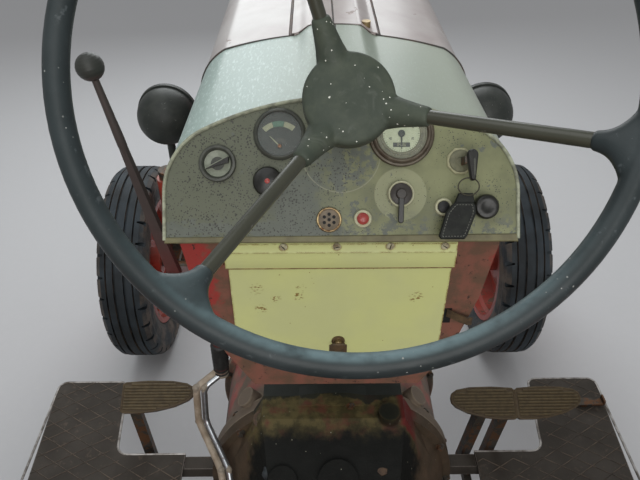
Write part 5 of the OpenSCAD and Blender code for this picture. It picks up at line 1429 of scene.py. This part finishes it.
# A dark plate of painted shade stands for the slot that the strap goes into.
box.block(shifted(FACE, 143, -92), (-5, 5), (-13, 13), (0.1, 0.9), hollow_shade, 0.2)
strap = [(0, 7, 1), (6, 8, 6), (16, 4, 9), (27, -2, 8), (35, -7, 3)]
box.loft([[FACE @ Vector((141 + x, -92 + y + w, out + t)) for w, t in ((-6, 0), (6, 0), (6, 2.4), (-6, 2.4))]
          for x, y, out in strap], strap_brown)
box.done("chassis", "lid_cream", 30)
rust_edge = [FACE @ Vector((x, -1.2, 9.8)) for x in (-138, 0, 138)]
BEAD.grow("strip_rust", paths(rust_edge), rust_line, "chassis", "lid_cream", radius=0.0009, sides=6)

# %% [markdown]
# ## Foot plates and pedals
# The plates carry raised ribs in a diamond pattern. Each rib is a straight line cut where it
# meets the plate's outline, so the pattern is found by a short clipping rule and swept by
# the bead tree. The pedal pads carry ribs along their length, cut by the same rule.

# %% Ribs inside an outline
def clipped(outline, start, step):
    """The parts of a line of 2-D points that lie inside an outline."""
    cuts = []
    for a, b in zip(outline, outline[1:] + outline[:1]):
        edge = Vector(b) - Vector(a)
        across = step.cross(edge)
        if abs(across) < 1e-9:
            continue
        gap = Vector(a) - start
        where, share = gap.cross(edge) / across, gap.cross(step) / across
        if 0 <= share < 1:
            cuts.append(where)
    cuts.sort()
    return [(start + step * a, start + step * b) for a, b in zip(cuts[::2], cuts[1::2]) if b - a > 6]


def ribs(outline, heading, gap, offset=0.0):
    """Parallel lines over an outline, heading in degrees."""
    step = Vector((math.cos(math.radians(heading)), math.sin(math.radians(heading))))
    side = Vector((-step.y, step.x))
    reach = [Vector(point).dot(side) for point in outline]
    first, last = math.ceil((min(reach) - offset) / gap), math.floor((max(reach) - offset) / gap)
    return [line for k in range(first, last + 1)
            for line in clipped(outline, side * (k * gap + offset), step)]


print("ribs of a test square", len(ribs([(0, 0), (100, 0), (100, 100), (0, 100)], 0, 10)))

# %% Diamond ribs
PLATE_TOP = 503
PLATE = ([(318, 640), (622, 640)] + arc(634, 1202, 14, 0, 90, 6) + arc(507, 1198, 18, 90, 180, 6)
         + arc(442, 1044, 44, 0, -90, 6) + [(318, 1000)])
for side, name in ((-1, "left"), (1, "right")):
    lines = []
    for heading in (31, -31):
        for a, b in ribs(PLATE, heading, 34, 7):
            lines.append([at(side * p.x, p.y, PLATE_TOP + 0.1) for p in (a, b)])
    BEAD.grow("plate_ribs_" + name, paths(*lines), rib_worn, "chassis", "tread_steel", radius=0.0010, sides=6)
    rim_line = [at(side * x, y, PLATE_TOP - 1.5) for x, y in
                [(650, 660)] + arc(630, 1198, 20, 0, 90, 6) + arc(505, 1198, 20, 90, 180, 6)
                + arc(442, 1044, 26, 0, -90, 6) + [(315, 1018)]]
    BEAD.grow("plate_edge_" + name, paths(rim_line), edge_worn, "chassis", "tread_steel",
              radius=0.0028, sides=8)


# %% [markdown]
# Each pedal pad is a rubber slab, straight at one end and narrowing to a point at the other.
# Its outline counts across in shares of the pad's width, so the wide clutch pad and the two
# brake pads have one outline. Levels of inset and height round the rim, and a turn about the
# X axis leans the pad towards the driver's foot.

# %% Pedal pads
PADS = {"clutch": (-436, -287, 1062), "brake_left": (383.7, 250, 1039), "brake_right": (384.3, 520, 1039)}
PAD = [(0, -28), (0, 27), (0.04, 31), (0.35, 34), (0.7, 33), (0.9, 28), (0.98, 21), (1, 12), (0.99, 2),
       (0.93, -7), (0.75, -19), (0.5, -28), (0.25, -32), (0.04, -32)]
pads = Piece("pedal_pads")
pad_lines = []
for wide_end, thin_end, ahead in PADS.values():
    place = frame_at(at(0, ahead, 640), Matrix.Rotation(math.radians(28), 3, "X"))
    outline = [(wide_end + (thin_end - wide_end) * share, y) for share, y in PAD]
    pads.stack(place, outline, ((-0.6, 3.4), (-0.6, 6.0), (0.9, 7.2), (2.6, 7.2), (3.4, 6.2)), pad_rubber)
    for line in ribs(inset(outline, 5), 0, 6.2, 2):
        pad_lines.append([place @ Vector((*point, 6.4)) for point in line])
pads.done("chassis", "steel_dark", 40)
BEAD.grow("pedal_ribs", paths(*pad_lines), pad_rib, "chassis", "steel_dark", radius=0.0026, sides=8)
print("pads", len(PADS), "ribs", len(pad_lines))

# %% [markdown]
# ## Hand lever, control rods and boot
# Two rods run from the hand lever down the left of the housing: one is a tan painted tube,
# one is bare steel. They follow the same points as the solids and sheathe them. The lever
# gets a turned sheath that swells low down and tapers upwards, and the boot is turned with
# a row of bellows.

# %% Rods and boot
LINKAGE = [(-203, 984, 815), (-240, 958, 800), (-244, 948, 716), (-196, 868, 680), (-182, 800, 612)]
for name, shift, radius, finish in (("tan_tube", -7, 6.6, tube_tan), ("steel_rod", 7, 5.6, bright_steel)):
    points = [at(x + shift, y, z) for x, y, z in LINKAGE]
    smooth = [points[0]]
    for before, corner, after in zip(points, points[1:], points[2:]):
        a = corner + (before - corner).normalized() * 0.014
        b = corner + (after - corner).normalized() * 0.014
        smooth += [a.lerp(corner, t).lerp(corner.lerp(b, t), t) for t in (k / 5 for k in range(6))]
    BEAD.grow(name, paths(smooth + [points[-1]]), finish, "chassis", "steel_dark",
              radius=radius * MM, sides=16)
sheath = Piece("lever_sheath")
hand_mid, hand_top = at(-299, 999, 1279), at(-320, 1005, 1385)
sheath.turned(frame_at(hand_mid, facing(hand_top - hand_mid)),
              [(0, -22), (4.4, -20), (6.6, -6), (6.6, 8), (5.6, 50), (4.7, 98), (0, 98)], lever_paint, 24)
sheath.done("chassis", "steel_dark", 50)
boot = Piece("lever_boot")
waves = [(11.6 + 2.4 * (k % 2) + k * 0.12, 3 + k * 4.2) for k in range(19)]
boot.turned(frame_at(at(-203, 984, 808), facing((3, 1, 84))), [(0, 2)] + waves + [(0, 80)],
            black_rubber, 24)
boot.done("chassis", "steel_dark", 60)

# %% [markdown]
# ## Bolts, nuts and studs
# A ring of bolts has a centre, the way its heads face, a radius and a number. A row has a
# side, a first bolt, a step and a number. Both helpers give points and directions, and the
# bolt tree does the rest, once for each body.

# %% Rings and rows of bolts
def bolt_ring(centre, axis, radius, count, start=0.0):
    turn = facing(axis)
    spots = [centre + turn @ Vector((math.cos(t), math.sin(t), 0)) * radius * MM
             for t in (math.radians(start + 360 * k / count) for k in range(count))]
    return spots, [Vector(axis)] * count


def bolt_row(side, x, first, step, count, z):
    """Bolts in a line along one flank of the tractor."""
    return [at(side * x, first + step * k, z) for k in range(count)], [Vector((side, 0, 0))] * count


def bolts(name, groups, body, finish, radius, tall):
    spots = [spot for points, _ in groups for spot in points]
    ways = [way for _, directions in groups for way in directions]
    BOLTS.grow(name, carrier(spots, ways), finish, body, "steel_dark", 25,
               head_radius=radius * MM, head_height=tall * MM)


# %% Bolts of the housings and wheels
BELL_Y, BELL_FRONT, CRANK_Z = 950, 1170, 555
REAR_R, REAR_X = 610, 625
FRONT_R, FRONT_X, WHEELBASE = 325, 612, 1900
bolts("bell_bolts", [
    bolt_ring(at(0, BELL_Y + 22, CRANK_Z), (0, 1, 0), 231, 14, 12),
    bolt_ring(at(0, BELL_FRONT - 22, CRANK_Z), (0, -1, 0), 231, 14, 12),
    bolt_ring(at(0, BELL_Y - 24, CRANK_Z), (0, -1, 0), 231, 13, 110)], "chassis", dark_steel, 6.2, 6)
bolts("axle_bolts", [bolt_ring(at(side * 184, 0, REAR_R), (side, 0, 0), 107, 10, 18) for side in (-1, 1)],
      "chassis", dark_steel, 8, 8)
rows = []
for side in (-1, 1):
    rows.append(bolt_row(side, 140, BELL_FRONT + 40, 60, 9, 514))
    rows.append(bolt_row(side, 115, BELL_FRONT + 50, 72, 7, 846))
    rows.append(bolt_row(side, 115, 1780, 60, 5, 660))
    rows.append(bolt_row(side, 160, -150, 66, 6, 770))
bolts("case_bolts", rows, "chassis", dark_steel, 7, 6)
for side, word in ((-1, "left"), (1, "right")):
    rear = bolt_ring(at(side * (REAR_X - 104), 0, REAR_R), (side, 0, 0), 90, 8, 22)
    bolts("rear_nuts_" + word, [rear], "rear_wheel_" + word, steel, 12, 14)
    front = bolt_ring(at(side * (FRONT_X - 9), WHEELBASE, FRONT_R), (side, 0, 0), 57, 5, 18)
    bolts("front_nuts_" + word, [front], "front_wheel_" + word, steel, 8, 10)


# %% [markdown]
# ## What lies on the gearbox cover
# A bolt, a plug of pale putty, a brown bolt, lumps of old grease and a domed cap lie on the
# sloping cover. Each one stands in a local frame with the cover's slope, so its height
# counts from the cover's face. A lump is lofted from rings whose radius wanders.

# %% Cover details
SLOPE = facing((0, -0.414, 1))


def on_cover(x, y, z, turn=0):
    return frame_at(at(x, y, z), SLOPE @ Matrix.Rotation(math.radians(turn), 3, "Z"))


def lump(piece, place, radius, tall, finish, seed):
    """A soft lump: a dome whose radius wanders with the angle."""
    rings = []
    for share, rise in ((1.0, -4), (1.0, 0.1), (0.86, 0.55), (0.55, 0.88), (0.001, 1.0)):
        ring = []
        for turn in circle(24):
            wander = 1 + 0.12 * math.sin(3 * turn + seed) + 0.08 * math.sin(5 * turn + 2 * seed)
            height = rise * (tall if rise > 0 else 1)
            ring.append(place @ Vector((radius * share * wander * math.cos(turn),
                                        radius * share * wander * math.sin(turn), height)))
        rings.append(ring)
    return piece.loft(rings, finish)


cover = Piece("cover_details")
place = on_cover(-125.6, 912.2, 768.5, 12)
cover.turned(place, [(0, -3), (14, -3), (14, 1.2), (10.5, 1.6), (10, 8), (8.5, 9.5), (0, 10)], case_ochre, 6)
cover.turned(place, [(0, -2), (17, -2), (17, 1.4), (0, 1.4)], case_brown, 28)
lump(cover, on_cover(57.4, 850.2, 742.5), 9, 5, putty_pale, 1.0)
place = on_cover(82.1, 829.1, 734, 20)
cover.turned(place, [(0, -3), (10.5, -3), (10.5, 8), (9, 10), (0, 10.5)], case_brown, 6)
lump(cover, on_cover(-112, 828, 734), 12, 9, grease_blue, 2.0)
lump(cover, on_cover(-88, 822, 731), 17, 9, grease_blue, 4.0)
lump(cover, on_cover(-60, 818, 730), 11, 6, grease_blue, 5.5)
cover.turned(on_cover(5.4, 794, 720), [(0, -6), (34, -6), (35, 0), (32, 5), (22, 8), (0, 9.5)], cap_olive, 56)
cover.done("chassis", "cast_dark", 50)

# %% [markdown]
# ## Parts that other views show
# Lamp glasses stand in their rims, fuel pipes arch from the pump to the cylinder head, and a
# bead runs round each end of the silencer. The glasses are lathe work. The pipes and beads
# are the bead tree again, with other paths.

# %% Glasses, pipes and beads
SILENCER_R, SILENCER_Y = 49.5, 1690
glasses = Piece("lamp_glasses")
for side in (-1, 1):
    glasses.turned(frame_at(at(side * 424, 1777, 948), facing((0, 1, 0))),
                   [(0, -3), (70, -3), (70, 1.5), (62, 7), (44, 12), (22, 14.6), (0, 15.4)], lamp_glass, 48)
    glasses.turned(frame_at(at(side * 625, -612, 940), facing((0, -1, 0))),
                   [(0, -3), (37, -3), (37, 1.5), (31, 6), (16, 8.6), (0, 9.2)], tail_glass, 36)
glasses.done("chassis", "tail_red", 40)
pipes = []
for k in range(3):
    start, end = at(180, 1370 + 60 * k, 794), at(114, 1290 + 150 * k, 880)
    knee = at(180, 1370 + 60 * k, 850)
    turn = at(150, 1330 + 105 * k, 905)
    pipes.append([start, start.lerp(knee, 0.6)] + [
        start.lerp(knee, 0.6).lerp(knee, t).lerp(knee.lerp(turn, t), t).lerp(turn.lerp(end, t), t * t)
        for t in (0.2, 0.4, 0.6, 0.8)] + [end])
BEAD.grow("fuel_pipes", paths(*pipes), bright_steel, "chassis", "alu", radius=0.0032, sides=10)
rings = [[at(SILENCER_R * math.cos(t), SILENCER_Y + SILENCER_R * math.sin(t), z) for t in circle(40)]
         for z in (1452, 1778)]
BEAD.grow("silencer_beads", paths(*rings, closed=True), exhaust_rust, "chassis", "rust_red",
          radius=0.0026, sides=8)


# %% [markdown]
# ## Camera, light and floor
# The photograph looks down over the wheel from the seat. The camera stands a little ahead of
# the rear axle, at eye height, and leans down 37.7 degrees.

# %% Camera
EYE = at(-30.5, 231, 1698)
LOOK_DOWN, ROLL = 37.7, -0.6
SENSOR, FOCAL_PIXELS, PHOTO_PIXELS = 36, 620, 640
camera_data = bpy.data.cameras.new("camera")
camera_data.sensor_width = SENSOR
camera_data.lens = SENSOR * FOCAL_PIXELS / PHOTO_PIXELS
camera_data.clip_start = 0.02
camera = bpy.data.objects.new("camera", camera_data)
camera.matrix_world = (spun(Matrix.Translation(EYE), ROLL)
                       @ Matrix.Rotation(math.radians(90 - LOOK_DOWN), 4, "X"))
bpy.context.scene.collection.objects.link(camera)
bpy.context.scene.camera = camera
print("camera at", [round(v, 3) for v in camera.matrix_world.translation])

# %% [markdown]
# Three round area lamps light the tractor: a cool one beyond the bonnet, a weaker one high on
# the left, and a warm broad one behind the driver. The world adds an even light. The camera
# sees it brighter than the tractor does, so the backdrop is pale and the colours stay true.

# %% Lamps
def lamp(name, place, aim, size, power, colour):
    data = bpy.data.lights.new(name, "AREA")
    data.shape = "DISK"
    data.size, data.energy, data.color = size, power, colour
    thing = bpy.data.objects.new(name, data)
    thing.matrix_world = Matrix.Translation(place) @ facing(place - aim).to_4x4()
    bpy.context.scene.collection.objects.link(thing)
    print(name, power, "W")


lamp("window", at(-300, 3900, 2700), at(0, 900, 1200), 2.8, 62, (0.95, 0.99, 1.0))
lamp("ceiling", at(-700, 500, 3600), at(0, 900, 900), 2.4, 24, (0.97, 0.99, 1.0))
lamp("fill", at(300, -2400, 2600), at(0, 800, 900), 3.0, 96, (1.0, 0.99, 0.97))

# %% World and floor
world = bpy.data.worlds.new("studio")
world.use_nodes = True
bpy.context.scene.world = world
sky = world.node_tree
path = sky.nodes.new("ShaderNodeLightPath")
seen = sky.nodes.new("ShaderNodeMath")
seen.operation = "MAXIMUM"
sky.links.new(path.outputs["Is Camera Ray"], seen.inputs[0])
sky.links.new(path.outputs["Is Transmission Ray"], seen.inputs[1])
level = sky.nodes.new("ShaderNodeMapRange")
level.inputs["To Min"].default_value = 0.42
level.inputs["To Max"].default_value = 0.85
sky.links.new(seen.outputs[0], level.inputs["Value"])
sky.links.new(level.outputs[0], sky.nodes["Background"].inputs["Strength"])
sky.nodes["Background"].inputs["Color"].default_value = (0.93, 0.94, 0.95, 1)

FLOOR_HALF = 12
floor_mesh = bpy.data.meshes.new("floor")
corners = [(x * FLOOR_HALF, y * FLOOR_HALF, 0) for x, y in ((-1, -1), (1, -1), (1, 1), (-1, 1))]
floor_mesh.from_pydata(corners, [], [(0, 1, 2, 3)])
floor = bpy.data.objects.new("floor", floor_mesh)
floor_finish = Finish("pale_floor")
grain = floor_finish.noise(0.02, 1, 5.0)
floor_mesh.materials.append(floor_finish.done(
    floor_finish.blend(grain, (0.52, 0.52, 0.53), (0.56, 0.56, 0.57)), floor_finish.plus(grain, 0.4)))
bpy.context.scene.collection.objects.link(floor)
bpy.context.scene.view_settings.view_transform = "Standard"
print("floor", 2 * FLOOR_HALF, "m wide")
